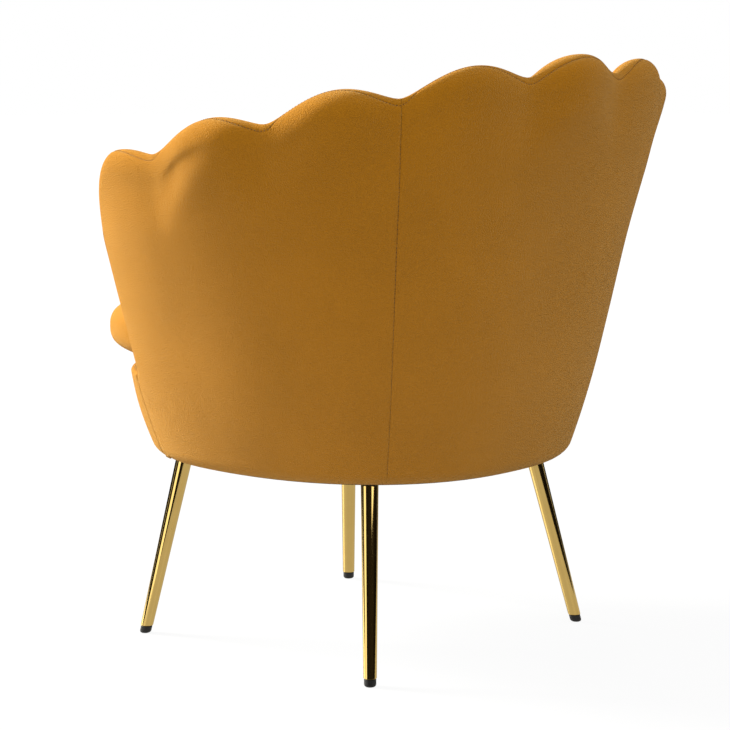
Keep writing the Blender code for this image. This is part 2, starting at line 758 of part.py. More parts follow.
def make_plate_recesses():
    """Round recesses in the lining and the covers' turned-in edges, that take the leg plates."""
    reach = PLATE_RADIUS + PLATE_CLEARANCE
    recess = turned("plate_recess", [
        (0.0, DUST_TOP - PLATE_THICK), (reach, DUST_TOP - PLATE_THICK), (reach, FRAME_BOTTOM), (0.0, FRAME_BOTTOM),
    ], LEG_STEPS)
    for name, x, y, _turn, _splay in leg_places():
        end, side = name.split("_")
        cutter = new_object(f"plate_recess_{name}", recess, STEEL, (x, y, 0.0))
        cut(bpy.data.objects["dust_cover"], cutter)
        if end == "front":
            cut(bpy.data.objects["front_rail_cover"], cutter)
        else:
            cut(bpy.data.objects[f"side_cover_{side}"], cutter)


# Cushion

def cushion_reach(angle):
    """Plan outline of the cushion: against the pads inside the tub, rounded and square in front."""
    turn = math.radians(angle)
    across_share = (abs(math.sin(turn)) / CUSHION_HALF_WIDTH) ** CUSHION_SQUARENESS
    along_share = (abs(math.cos(turn)) / CUSHION_FRONT) ** CUSHION_SQUARENESS
    front = (across_share + along_share) ** (-1.0 / CUSHION_SQUARENESS)
    inside = plan_radius(angle, SEAT_DECK) - PAD_BACK - CROWN_PAD - CUSHION_CLEARANCE
    past = max(0.0, abs(angle) - ARM_ANGLE - CUSHION_EAR_START)
    return min(front, inside + math.radians(past) * CUSHION_FRONT * CUSHION_EAR_SPREAD)


def make_cushion():
    """The loose seat cushion: crowned top, rounded nose, drawn-in sides."""
    low = SEAT_DECK + GAP
    outline = []
    for step in range(CUSHION_SIDE_STEPS + 1):
        turn = math.pi * (step / CUSHION_SIDE_STEPS - 0.5)
        drawn_in = CUSHION_UNDERCUT if turn < 0.0 else CUSHION_SHOULDER
        share = 1.0 - drawn_in * (1.0 - max(0.0, math.cos(turn)) ** CUSHION_SOFTNESS)
        outline.append((share, low + CUSHION_SIDE * (1.0 + math.sin(turn)) / 2.0))
    edge, shoulder = outline[-1]
    for step in range(1, CUSHION_TOP_STEPS):
        share = edge * (1.0 - step / CUSHION_TOP_STEPS)
        outline.append((share, shoulder + CUSHION_CROWN * (1.0 - (share / edge) ** 2)))
    rings = []
    for share, height in outline:
        ring = []
        for step in range(CUSHION_STEPS):
            angle = TURN_ROUND * step / CUSHION_STEPS
            angle = angle - TURN_ROUND if angle > TURN_ROUND / 2.0 else angle
            radius = cushion_reach(angle) * share
            turn = math.radians(angle)
            ring.append(Vector((radius * math.sin(turn), AXIS_Y + radius * math.cos(turn), height)))
        rings.append(ring)
    stack("seat_cushion", rings, VELVET)


def main():
    """Build every piece of the chair."""
    clear_scene()
    make_rails()
    make_shell_boards()
    make_suspension()
    make_channel_pads()
    make_arm_facings()
    make_outer_covers()
    make_front_cover()
    make_legs()
    cutters = make_plates_and_bolts()
    make_corner_blocks(cutters)
    make_dust_cover()
    make_plate_recesses()
    make_cushion()


main()
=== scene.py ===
"""Scalloped tub armchair in mustard velvet on four splayed metal legs: its looks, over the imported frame."""

import logging
import math
from dataclasses import dataclass, field
from enum import Enum
from functools import cached_property
from typing import Callable, Dict, List, Protocol, Sequence, Tuple

import bmesh
import bpy
from mathutils import Matrix, Vector, noise


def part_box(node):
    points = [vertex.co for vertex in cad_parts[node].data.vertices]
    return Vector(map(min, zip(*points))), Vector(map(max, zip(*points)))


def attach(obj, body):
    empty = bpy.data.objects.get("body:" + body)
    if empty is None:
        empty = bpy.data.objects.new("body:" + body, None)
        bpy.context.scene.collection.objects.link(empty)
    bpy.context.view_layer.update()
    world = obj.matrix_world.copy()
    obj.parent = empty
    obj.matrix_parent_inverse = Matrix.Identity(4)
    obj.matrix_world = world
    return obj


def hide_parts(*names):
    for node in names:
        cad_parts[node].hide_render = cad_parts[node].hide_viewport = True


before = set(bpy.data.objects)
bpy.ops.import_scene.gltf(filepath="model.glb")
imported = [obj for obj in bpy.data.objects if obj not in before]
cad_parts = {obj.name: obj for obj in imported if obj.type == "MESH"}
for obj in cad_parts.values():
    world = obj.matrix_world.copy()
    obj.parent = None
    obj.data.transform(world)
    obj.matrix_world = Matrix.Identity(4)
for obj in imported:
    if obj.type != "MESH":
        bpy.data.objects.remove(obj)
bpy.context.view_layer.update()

CHAIR = "chair"
CUSHION = "seat_cushion"
LOG = logging.getLogger("tub_armchair")

Point = Tuple[float, float]
Colour = Tuple[float, float, float]
Piece = bpy.types.Object
Mesh = bmesh.types.BMesh
Material = bpy.types.Material
Socket = bpy.types.NodeSocket


class Side(Enum):
    """The two mirrored halves of the chair, by the sitter's hands."""

    LEFT = 1.0
    RIGHT = -1.0

    @property
    def word(self) -> str:
        """The side's name as it stands in the names of pieces."""
        return self.name.lower()


class Slot(Enum):
    """Material slots of the record, one passed along with each new piece."""

    VELVET = "velvet"
    BRASS = "brass_plated_steel"
    PLASTIC = "black_plastic"


def clamp(value: float) -> float:
    """The value held between 0 and 1."""
    return min(max(value, 0.0), 1.0)


def smoothstep(value: float) -> float:
    """0 below 0, 1 above 1, and an even curve between."""
    value = clamp(value)
    return value * value * (3.0 - 2.0 * value)


def blend(low: float, high: float, share: float) -> float:
    """The value at this share of the way from low to high."""
    return low + (high - low) * share


def hump(distance: float, width: float) -> float:
    """1 at no distance and falling like a bell, with this half width."""
    return math.exp(-((distance / width) ** 2))


def blurred(curve: Callable[[float], float], middle: float, blur: float, steps: Sequence[int]) -> float:
    """A curve's mean about one place, where the nearer of these steps count for more."""
    shares = [(hump(step, blur), curve(middle + step)) for step in steps]
    return sum(share * out for share, out in shares) / sum(share for share, _ in shares)


# Finishes


class NodeTree:
    """The node tree of a material or of the world."""

    def __init__(self, owner: bpy.types.ID) -> None:
        """Take up its owner's tree.

        Args:
            owner: The material or the world.
        """
        owner.use_nodes = True
        self.nodes = owner.node_tree.nodes
        self.links = owner.node_tree.links

    def feed(self, socket: Socket, value: object) -> None:
        """Join an input to an output, or set it to a number, a vector or a colour.

        Args:
            socket: The input.
            value: An output, or what the input is set to.
        """
        if isinstance(value, Socket):
            self.links.new(value, socket)
        else:
            socket.default_value = (*value, 1.0) if socket.type == "RGBA" else value

    def add(self, kind: str, inputs: Dict[str | int, object] | None = None, **settings: str) -> bpy.types.Node:
        """A new node.

        Args:
            kind: Type of the node.
            inputs: What feeds its inputs, by their names or numbers.
            settings: Its other settings.

        Returns:
            The node.
        """
        node = self.nodes.new(kind)
        for name, value in settings.items():
            setattr(node, name, value)
        for name, value in (inputs or {}).items():
            self.feed(node.inputs[name], value)
        return node

    def seen_or_not(self, share: Socket, unseen: bpy.types.Node, seen: bpy.types.Node, end: str) -> None:
        """End the tree in two shaders.

        Args:
            share: Share of the second shader.
            unseen: First shader.
            seen: Second shader.
            end: Type of the tree's last node.
        """
        mixed = self.add("ShaderNodeMixShader", {"Fac": share, 1: unseen.outputs[0], 2: seen.outputs[0]})
        self.add(end, {"Surface": mixed.outputs[0]})


class NodeBench(NodeTree):
    """A new material's node tree, with the kinds of node that the finishes are made of."""

    def __init__(self, name: str) -> None:
        """Start a material of this name.

        Args:
            name: Name of the material.
        """
        self.material = bpy.data.materials.new(name)
        super().__init__(self.material)
        self.shader = self.nodes["Principled BSDF"]

    @cached_property
    def place(self) -> Socket:
        """The piece's own coordinates."""
        return self.add("ShaderNodeTexCoord").outputs["Object"]

    def stretched(self, scale: Tuple[float, float, float]) -> Socket:
        """The piece's own coordinates, scaled by axis."""
        return self.add("ShaderNodeMapping", {"Vector": self.place, "Scale": scale}).outputs["Vector"]

    def noise(self, scale: float, detail: float, vector: Socket | None = None) -> Socket:
        """Grey noise.

        Args:
            scale: Features in a metre.
            detail: Octaves of finer noise.
            vector: Coordinates, or the piece's own if none are given.

        Returns:
            The noise's value.
        """
        inputs = {"Vector": vector or self.place, "Scale": scale, "Detail": detail}
        return self.add("ShaderNodeTexNoise", inputs).outputs["Fac"]

    def spread(self, value: Socket, low: float, high: float) -> Socket:
        """Stretch what lies between low and high to 0 and 1."""
        return self.add("ShaderNodeMapRange", {"Value": value, "From Min": low, "From Max": high}).outputs["Result"]

    def mix(self, share: object, low: object, high: object, kind: str = "MIX") -> Socket:
        """A colour between low and high, each a colour or an output.

        Args:
            share: Share of the second colour.
            low: First colour.
            high: Second colour.
            kind: How the second is laid over the first.

        Returns:
            The mixed colour.
        """
        node = self.add("ShaderNodeMix", {"Factor": share}, data_type="RGBA", blend_type=kind)
        for name, value in (("A", low), ("B", high)):
            self.feed(next(item for item in node.inputs if item.name == name and item.type == "RGBA"), value)
        return next(item for item in node.outputs if item.type == "RGBA")

    def above(self, low: float, high: float) -> Socket:
        """0 below one height and 1 above another, of the piece's own coordinates."""
        return self.spread(self.add("ShaderNodeSeparateXYZ", {"Vector": self.place}).outputs["Z"], low, high)

    def colour(self, source: Socket) -> None:
        """Give the shader its base colour."""
        self.feed(self.shader.inputs["Base Color"], source)

    def rough(self, value: Socket, low: float, high: float) -> None:
        """Let the roughness vary with a value from low to high."""
        node = self.add("ShaderNodeMapRange", {"Value": value, "To Min": low, "To Max": high})
        self.feed(self.shader.inputs["Roughness"], node.outputs["Result"])

    def bump(self, height: Socket, distance: float, strength: float = 1.0) -> None:
        """Raise the surface by a value."""
        node = self.add("ShaderNodeBump", {"Height": height, "Distance": distance, "Strength": strength})
        self.feed(self.shader.inputs["Normal"], node.outputs["Normal"])

    def settle(self, **constants: object) -> Material:
        """Set the shader's plain values, written with _ for a space, and give the material.

        Args:
            constants: Values by the names of their inputs.

        Returns:
            The finished material.
        """
        for name, value in constants.items():
            self.feed(self.shader.inputs[name.replace("_", " ")], value)
        return self.material


class Finish(Protocol):
    """What each finish has: a name, and a way to make its material."""

    name: str

    def make(self) -> Material:
        """The finish's material."""


@dataclass(frozen=True)
class VelvetFinish:
    """Short-pile velvet: a fine grain of pile, brushed patches, a soft sheen, and painted shade that darkens and
    deepens the colour towards the top.
    """

    name: str = "mustard_velvet"
    dark: Colour = (0.410, 0.163, 0.0125)
    light: Colour = (0.490, 0.200, 0.0180)
    sheen_tint: Colour = (1.0, 0.79, 0.36)
    # Painted shade: towards the top the colour is multiplied by this, darker and more saturated, from the first
    # height to the second
    deep: Colour = (0.93, 0.88, 0.26)
    top_shade_from: float = 0.36
    top_shade_to: float = 0.78
    pile_scale: float = 640.0
    pile_length: float = 0.00110
    patch_scale: float = 7.0
    dark_patch: float = 1.10
    light_patch: float = 1.06

    def make(self) -> Material:
        """The velvet's material."""
        bench = NodeBench(self.name)
        pile = bench.spread(bench.noise(self.pile_scale, 3.0), 0.30, 0.70)
        patch = bench.spread(bench.noise(self.patch_scale, 3.0), 0.35, 0.65)
        low = bench.mix(patch, self.dark, tuple(channel * self.dark_patch for channel in self.dark))
        high = bench.mix(patch, self.light, tuple(channel * self.light_patch for channel in self.light))
        brushed = bench.mix(pile, low, high)
        # Painted shade: the colour darkens and deepens from the lower height to the upper
        shaded_top = bench.mix(1.0, brushed, self.deep, "MULTIPLY")
        bench.colour(bench.mix(bench.above(self.top_shade_from, self.top_shade_to), brushed, shaded_top))
        bench.bump(pile, self.pile_length)
        return bench.settle(
            Roughness=0.90, Specular_IOR_Level=0.08,
            Sheen_Weight=0.36, Sheen_Roughness=0.38, Sheen_Tint=self.sheen_tint,
        )


@dataclass(frozen=True)
class ThreadFinish:
    """Twisted sewing thread, darker than the pile around it."""

    name: str = "brown_thread"
    dark: Colour = (0.130, 0.050, 0.006)
    light: Colour = (0.230, 0.092, 0.012)
    twist_scale: float = 1500.0
    twist_depth: float = 0.0001

    def make(self) -> Material:
        """The thread's material."""
        bench = NodeBench(self.name)
        twist = bench.noise(self.twist_scale, 1.0)
        bench.colour(bench.mix(twist, self.dark, self.light))
        bench.bump(twist, self.twist_depth)
        return bench.settle(Roughness=0.7)


@dataclass(frozen=True)
class PlatedFinish:
    """Polished brass-coloured plating, with faint polishing marks round the tube."""

    name: str = "polished_plating"
    deep: Colour = (0.720, 0.490, 0.150)
    bright: Colour = (0.840, 0.610, 0.220)
    cloud_scale: float = 28.0
    mark_scale: float = 60.0
    mark_stretch: Tuple[float, float, float] = (1.0, 1.0, 22.0)
    mark_depth: float = 0.00002

    def make(self) -> Material:
        """The plating's material."""
        bench = NodeBench(self.name)
        cloud = bench.noise(self.cloud_scale, 4.0)
        marks = bench.noise(self.mark_scale, 3.0, bench.stretched(self.mark_stretch))
        bench.colour(bench.mix(cloud, self.deep, self.bright))
        bench.rough(marks, 0.035, 0.085)
        bench.bump(marks, self.mark_depth, 0.4)
        return bench.settle(Metallic=1.0)


@dataclass(frozen=True)
class MouldedFinish:
    """Matt moulded plastic with a fine spark-eroded grain."""

    name: str = "moulded_black_plastic"
    deep: Colour = (0.004, 0.004, 0.005)
    worn: Colour = (0.012, 0.012, 0.013)
    grain_scale: float = 1900.0
    grain_depth: float = 0.00008
    scuff_scale: float = 130.0

    def make(self) -> Material:
        """The plastic's material."""
        bench = NodeBench(self.name)
        grain = bench.noise(self.grain_scale, 2.0)
        scuff = bench.spread(bench.noise(self.scuff_scale, 4.0), 0.45, 0.75)
        bench.colour(bench.mix(scuff, self.deep, self.worn))
        bench.rough(scuff, 0.38, 0.62)
        bench.bump(grain, self.grain_depth, 0.5)
        return bench.settle(Specular_IOR_Level=0.5)


@dataclass(frozen=True)
class ZincFinish:
    """Bright zinc plating with its faint crystal clouding."""

    name: str = "zinc_plating"
    deep: Colour = (0.330, 0.335, 0.330)
    bright: Colour = (0.620, 0.625, 0.610)
    cloud_scale: float = 220.0

    def make(self) -> Material:
        """The zinc's material."""
        bench = NodeBench(self.name)
        cloud = bench.noise(self.cloud_scale, 4.0)
        bench.colour(bench.mix(cloud, self.deep, self.bright))
        bench.rough(cloud, 0.26, 0.46)
        return bench.settle(Metallic=1.0)


@dataclass(frozen=True)
class WoodFinish:
    """Raw sawn wood, its grain along one axis."""

    name: str
    dark: Colour
    light: Colour
    grain: Tuple[float, float, float] = (9.0, 9.0, 1.0)
    ring_scale: float = 14.0
    pore_scale: float = 90.0
    pore_depth: float = 0.0003

    def make(self) -> Material:
        """The wood's material."""
        bench = NodeBench(self.name)
        along = bench.stretched(self.grain)
        rings = bench.spread(bench.noise(self.ring_scale, 5.0, along), 0.35, 0.65)
        bench.colour(bench.mix(rings, self.dark, self.light))
        bench.bump(bench.noise(self.pore_scale, 3.0, along), self.pore_depth, 0.6)
        return bench.settle(Roughness=0.72)


@dataclass(frozen=True)
class FeltFinish:
    """Matted fibres: needled felt or a thin bonded lining."""

    name: str
    dark: Colour
    light: Colour
    fibre_scale: float
    fibre_depth: float = 0.0005

    def make(self) -> Material:
        """The felt's material."""
        bench = NodeBench(self.name)
        fibres = bench.spread(bench.noise(self.fibre_scale, 5.0), 0.35, 0.65)
        bench.colour(bench.mix(fibres, self.dark, self.light))
        bench.bump(fibres, self.fibre_depth, 0.7)
        return bench.settle(Roughness=0.95, Specular_IOR_Level=0.15)


@dataclass
class Wardrobe:
    """The finishes of the chair, each made once."""

    made: Dict[str, Material] = field(default_factory=dict)

    def wear(self, finish: Finish) -> Material:
        """The material of a finish, made the first time that it is asked for.

        Args:
            finish: The finish.

        Returns:
            Its material.
        """
        if finish.name not in self.made:
            self.made[finish.name] = finish.make()
        return self.made[finish.name]


VELVET = VelvetFinish()
THREAD = ThreadFinish()
PLATING = PlatedFinish()
PLASTIC = MouldedFinish()
ZINC = ZincFinish()
PLYWOOD = WoodFinish("birch_plywood", (0.36, 0.22, 0.11), (0.56, 0.39, 0.22))
PINE = WoodFinish("sawn_pine", (0.42, 0.25, 0.11), (0.62, 0.42, 0.22))
FELT = FeltFinish("needled_felt", (0.42, 0.41, 0.37), (0.62, 0.61, 0.56), 420.0)
LINING = FeltFinish("bonded_lining", (0.008, 0.008, 0.009), (0.030, 0.030, 0.032), 700.0)


# The tub's curves


@dataclass(frozen=True)
class Tub:
    """The tub in polar form: an angle from the middle of the back, a depth inwards from its outer face."""

    axis_y: float
    body_bottom: float = 0.255
    seat_deck: float = 0.375
    rim_height: float = 0.776
    rim_fall: float = 0.097
    scallop: float = 0.024
    half_width: float = 0.275
    half_back: float = 0.302
    half_front: float = 0.272
    top_half_width: float = 0.413
    top_half_back: float = 0.379
    top_half_front: float = 0.296
    flare_height: float = 0.52
    base_squareness: float = 2.24
    rim_squareness: float = 2.64
    base_tuck: float = 0.010
    base_tuck_height: float = 0.147
    lobe_edges: Tuple[float, ...] = (14.0, 41.0, 64.0, 90.0, 122.0)
    lobe_bulges: Tuple[float, ...] = (0.025, 0.005, 0.018, 0.022, 0.0)
    lobe_grooves: Tuple[float, ...] = (0.0024, 0.0012, 0.0030, 0.0062, 0.0)
    valley_softness: float = 0.22
    shoulder: float = 0.0065
    shoulder_angle: float = 96.0
    shoulder_width: float = 13.0
    arm_angle: float = 119.0
    corner_length: float = 0.104
    corner_share: float = 0.60
    bulge_height: float = 0.21
    lobe_height: float = 0.085
    crown_blur: float = 3.0
    belly_blur: float = 13.0
    groove_place: float = 0.036
    groove_near: float = 0.010
    groove_far: float = 0.022
    # Shares of a lobe's width: where the groove begins or ends, and over how much it grows or fades
    groove_from: Point = (0.22, 0.34)
    groove_to: Point = (0.97, 0.24)
    front_edge: float = 0.010
    blur_reach: int = 30
    last_degree: int = 125
    rim_reach: int = 26
    gap: float = 0.0003
    cover: float = 0.0035
    shell_board: float = 0.008
    crown_power: float = 1.2
    valley_pad: float = 0.010
    crown_pad: float = 0.038
    pad_power: float = 0.62
    pad_taper: float = 0.90
    roll_height: float = 0.034
    roll_inside: float = 0.042
    seam_lap: float = 0.008
    bottom_round: float = 0.016
    cover_turn_in: float = 0.0008
    facing_width: float = 0.024
    facing_pad: float = 0.0118
    roll_peaks: Tuple[float, ...] = (0.36, 0.40, 0.60, 0.54, 0.46)
    valley_peak: float = 0.45
    valley_seam_turn: float = 50.0
    crown_seam_turn: float = 88.0
    centre_seam_turn: float = 64.0
    seam_climb: float = 0.64
    seam_drop: float = 0.16
    end_columns: Tuple[float, ...] = (0.0, 0.12, 0.3, 0.55)
    column_height: float = 0.6
    close_band: float = 0.0035

    @property
    def board_out(self) -> float:
        """Depth of the shell boards' outer face."""
        return self.cover + self.gap

    @property
    def pad_back(self) -> float:
        """Depth of the channel pads' back."""
        return self.board_out + self.shell_board + self.gap

    @property
    def seam_angle(self) -> float:
        """Angle of the upright seam between the back cover and a side cover."""
        return self.lobe_edges[1]

    @property
    def facing_start(self) -> float:
        """Angle at which the arm's facing begins."""
        return self.arm_angle - self.facing_width * self.arm_arc()

    def plan_radius(self, angle: float, height: float) -> float:
        """Distance from the tub's axis to the covers' outer face, without the lobes' bulge.

        Args:
            angle: Angle round the tub, from the middle of the back.
            height: Height above the floor.

        Returns:
            The distance.
        """
        rise = height - self.body_bottom
        tuck = self.base_tuck * max(0.0, 1.0 - rise / self.base_tuck_height) ** 2
        flare = rise / self.flare_height
        side = blend(self.half_width, self.top_half_width, flare) - tuck
        turn = math.radians(angle)
        if math.cos(turn) > 0.0:
            depth = blend(self.half_back, self.top_half_back, flare) - tuck
        else:
            depth = blend(self.half_front, self.top_half_front, flare) - tuck
        power = blend(self.base_squareness, self.rim_squareness, clamp(flare))
        across = (abs(math.sin(turn)) / side) ** power
        along = (abs(math.cos(turn)) / depth) ** power
        return (across + along) ** (-1.0 / power)

    def lobe(self, angle: float) -> float:
        """0 in the valleys between lobes and 1 on their crowns, with soft valleys.

        Args:
            angle: Angle round the tub, from the middle of the back.

        Returns:
            The share of a crown's height.
        """
        angle = abs(angle)
        sharp = 0.0
        if angle <= self.lobe_edges[0]:
            sharp = math.cos(math.radians(90.0 * angle / self.lobe_edges[0]))
        for low, high in zip(self.lobe_edges, self.lobe_edges[1:]):
            if low < angle <= high:
                sharp = math.sin(math.pi * (angle - low) / (high - low))
        soft = self.valley_softness
        return (math.hypot(sharp, soft) - soft) / (math.hypot(1.0, soft) - soft)

    def arm_arc(self) -> float:
        """How many degrees one metre along the arm's rim is."""
        return math.degrees(1.0 / self.plan_radius(self.arm_angle, self.rim_height - self.rim_fall))

    def plain_rim(self, angle: float) -> float:
        """Height of the rim without its scallops: highest in the middle of the back."""
        return self.rim_height - self.rim_fall * (1.0 - math.cos(math.radians(angle)))

    def rim(self, angle: float) -> float:
        """Height of the rim's top, with its scallops and the rounded front corner of each arm.

        Args:
            angle: Angle round the tub, from the middle of the back.

        Returns:
            The height.
        """
        drop = self.corner_share * (self.plain_rim(self.arm_angle) - self.seat_deck)
        start = self.arm_angle - self.corner_length * self.arm_arc()
        past = clamp((abs(angle) - start) / (self.arm_angle - start))
        rounding = drop * (1.0 - math.sqrt(1.0 - past * past))
        return self.plain_rim(angle) + self.scallop * self.lobe(angle) - rounding

    def spring_line(self, angle: float) -> float:
        """Height at which the rim's roll begins outside."""
        return self.rim(angle) - self.roll_height

    def lobe_place(self, angle: float) -> Tuple[int, float]:
        """Which lobe an angle lies in, and how far across it, towards the front.

        Args:
            angle: Angle round the tub, from the middle of the back.

        Returns:
            The lobe's number, 0 in the middle of the back, and the share of its width.
        """
        lows = (-self.lobe_edges[0], *self.lobe_edges)
        for index, (low, high) in enumerate(zip(lows, self.lobe_edges)):
            if abs(angle) <= high:
                break
        return index, min((abs(angle) - low) / (high - low), 1.0)

    def standing(self, angle: float) -> float:
        """How far a lobe stands out just below the rim."""
        return self.lobe_bulges[self.lobe_place(angle)[0]] * self.lobe(angle) ** self.crown_power

    def smoothed(self, blur: float) -> Tuple[float, ...]:
        """The lobes' bulge smoothed over this many degrees, for each degree from the middle of the back."""
        steps = range(-self.blur_reach, self.blur_reach + 1)
        return tuple(blurred(self.standing, angle, blur, steps) for angle in range(self.last_degree + 1))

    @cached_property
    def crowns(self) -> Tuple[float, ...]:
        """How far the lobes stand out just below the rim, degree by degree."""
        return self.smoothed(self.crown_blur)

    @cached_property
    def bellies(self) -> Tuple[float, ...]:
        """How far the cover bellies out well below the rim, degree by degree."""
        return tuple(
            out + self.shoulder * hump(angle - self.shoulder_angle, self.shoulder_width)
            for angle, out in enumerate(self.smoothed(self.belly_blur))
        )

    def between(self, table: Sequence[float], angle: float) -> float:
        """The value at this angle of a table that goes up by degrees."""
        index = int(abs(angle))
        return blend(table[index], table[index + 1], abs(angle) - index)

    @cached_property
    def rims(self) -> Tuple[float, ...]:
        """Height of the rim at each half degree from the middle of the back."""
        return tuple(self.rim(min(index / 2.0, self.arm_angle)) for index in range(360))

    def rim_distance(self, angle: float, height: float) -> float:
        """Distance along the cloth to the nearest point of the rim or of the arm's front edge.

        Args:
            angle: Angle round the tub, from the middle of the back.
            height: Height above the floor.

        Returns:
            The distance.
        """
        degree = math.radians(1.0) * self.plan_radius(angle, height)
        first = round(angle * 2.0)
        near = (
            math.hypot((step / 2.0 - angle) * degree, self.rims[abs(step)] - height)
            for step in range(first - self.rim_reach, first + self.rim_reach + 1, 2)
        )
        return min(min(near), (self.arm_angle - abs(angle)) * degree + self.front_edge)

    def groove(self, angle: float, height: float) -> float:
        """How far the cloth is drawn in where the rim's stuffing ends.

        Args:
            angle: Angle round the tub, from the middle of the back.
            height: Height above the floor.

        Returns:
            The depth.
        """
        index, share = self.lobe_place(angle)
        (first, growth), (last, fading) = self.groove_from, self.groove_to
        weight = smoothstep((share - first) / growth) * smoothstep((last - share) / fading)
        past = self.rim_distance(angle, height) - self.groove_place
        return self.lobe_grooves[index] * weight * hump(past, self.groove_near if past < 0.0 else self.groove_far)

    def bulge(self, angle: float, height: float) -> float:
        """How far the cover stands out of the plain flare: whole lobes near the rim, one soft belly below.

        Args:
            angle: Angle round the tub, from the middle of the back.
            height: Height above the floor.

        Returns:
            The distance from the plain flare, outwards.
        """
        eaves = self.plain_rim(angle) + self.scallop / 2.0
        wide = smoothstep(1.0 - (eaves - self.roll_height - height) / self.bulge_height)
        near = smoothstep(1.0 - (self.spring_line(angle) - height) / self.lobe_height)
        out = blend(self.between(self.bellies, angle), self.between(self.crowns, angle), near)
        return wide * out - self.groove(angle, height)

    def pad_face(self, angle: float) -> float:
        """Depth of the channel pads' inner face: thin in a valley, full on a crown."""
        return self.pad_back + blend(self.valley_pad, self.crown_pad, self.lobe(angle) ** self.pad_power)

    def place(self, angle: float, depth: float, height: float) -> Vector:
        """The point at this angle and height, this deep inside the plain outer face.

        Args:
            angle: Angle round the tub, from the middle of the back.
            depth: Depth inside the outer face.
            height: Height above the floor.

        Returns:
            The point.
        """
        radius = self.plan_radius(angle, height) - depth
        turn = math.radians(angle)
        return Vector((radius * math.sin(turn), self.axis_y + radius * math.cos(turn), height))

    def seam_turn(self, angle: float) -> float:
        """How far over the rim's roll the rim seam lies, in radians: furthest on a lobe's front flank.

        Args:
            angle: Angle round the tub, from the middle of the back.

        Returns:
            The turn, 0 outside and half pi on top.
        """
        index, share = self.lobe_place(angle)
        if index == 0:
            return math.radians(blend(self.valley_seam_turn, self.centre_seam_turn, self.lobe(angle)))
        over = smoothstep(share / self.seam_climb) * smoothstep((1.0 - share) / self.seam_drop)
        return math.radians(blend(self.valley_seam_turn, self.crown_seam_turn, over))

    def roll_point(self, angle: float, outer: float, inner: float, turn: float) -> Point:
        """A point of the rim's rolled top between two depths.

        Args:
            angle: Angle round the tub.
            outer: Depth at which the roll starts.
            inner: Depth at which it ends, inside.
            turn: 0 outside, half pi on top and pi inside.

        Returns:
            Depth and height of the point.
        """
        over = turn > math.pi / 2.0
        fall = self.roll_inside if over else self.roll_height
        crown_peak = self.roll_peaks[self.lobe_place(angle)[0]]
        peak = blend(outer, inner, blend(self.valley_peak, crown_peak, self.lobe(angle)))
        depth = peak - (inner - peak if over else peak - outer) * math.cos(turn)
        return depth, self.rim(angle) - fall * (1.0 - math.sin(turn))

    def sewn_roll(self, angle: float, outer: float, turn: float, dip: float, width: float) -> Point:
        """A point of the rim's rolled top, drawn in beside the rim seam.

        Args:
            angle: Angle round the tub.
            outer: Depth at which the roll starts.
            turn: 0 outside, half pi on top and pi inside.
            dip: How far the seam draws it in.
            width: Half width of what is drawn in.

        Returns:
            Depth and height of the point.
        """
        depth, height = self.roll_point(angle, outer, self.pad_face(angle), turn)
        dip *= hump((turn - self.seam_turn(angle)) * self.roll_height, width)
        return depth + dip * math.cos(turn), height - dip * math.sin(turn)

    def hem(self, rows: int) -> List[Point]:
        """The covers' turned-in bottom edge and the rounding up to their face.

        Args:
            rows: Steps of the rounding.

        Returns:
            Depth and height of each corner, from the inside out.
        """
        rounding = self.bottom_round
        found = [(rounding + self.cover_turn_in * share, self.body_bottom) for share in (1.0, 0.5)]
        for index in range(rows):
            turn = math.pi / 2.0 * index / rows
            found.append((rounding * (1.0 - math.sin(turn)), self.body_bottom + rounding * (1.0 - math.cos(turn))))
        return found

    def columns(self, start: float, end: float, step: float) -> List[float]:
        """Angles from start to end, evenly apart, with closer ones beside both ends.

        Args:
            start: First angle.
            end: Last angle.
            step: Distance between columns at the rim, in metres.

        Returns:
            The angles in order, each end drawn back by half a gap.
        """
        degree = math.radians(1.0) * self.plan_radius((start + end) / 2.0, self.column_height)
        back = self.gap / degree / 2.0
        low, high = start + back, end - back
        band = self.close_band / degree
        near = [band * share for share in self.end_columns]
        count = max(2, round((high - low - 2.0 * band) * degree / step))
        middle = [blend(low + band, high - band, index / count) for index in range(count + 1)]
        return [low + part for part in near] + middle + [high - part for part in reversed(near)]

    def edge_distance(self, angle: float, height: float, edge: float) -> float:
        """Distance along the surface to the upright line at an angle, in metres."""
        return abs(math.radians(abs(angle) - edge)) * self.plan_radius(angle, height)


# Tools shared by the pieces


def linked(name: str, data: bpy.types.ID) -> Piece:
    """A new object in the scene.

    Args:
        name: Name of the object.
        data: Its mesh, camera or lamp.

    Returns:
        The object.
    """
    item = bpy.data.objects.new(name, data)
    bpy.context.scene.collection.objects.link(item)
    return item


def finished(name: str, bm: Mesh, material: Material, smooth: bool = True) -> Piece:
    """A new piece made of bm.

    Args:
        name: Name of the piece.
        bm: Its mesh, which is freed.
        material: Its finish.
        smooth: Whether faces are shaded smooth.

    Returns:
        The piece, at the origin.
    """
    mesh = bpy.data.meshes.new(name)
    bm.to_mesh(mesh)
    bm.free()
    if smooth:
        mesh.shade_smooth()
    mesh.materials.append(material)
    return linked(name, mesh)


def sheet_mesh(tub: Tub, angles: Sequence[float], strip: Callable[[float], List[Point]]) -> Mesh:
    """A sheet bent round the tub.

    Args:
        tub: The tub's curves.
        angles: Angle of each column of corners.
        strip: Gives a column's corners from bottom to top, as depth and height.

    Returns:
        The sheet, its face outwards.
    """
    strips = [strip(angle) for angle in angles]
    last_column, last_row = len(strips) - 1, len(strips[0]) - 1
    bm = bmesh.new()
    bmesh.ops.create_grid(bm, x_segments=last_column, y_segments=last_row, size=1.0)
    for vertex in bm.verts:
        column = round((vertex.co.x + 1.0) / 2.0 * last_column)
        row = round((vertex.co.y + 1.0) / 2.0 * last_row)
        vertex.co = tub.place(angles[column], *strips[column][row])
    bmesh.ops.reverse_faces(bm, faces=bm.faces)
    return bm


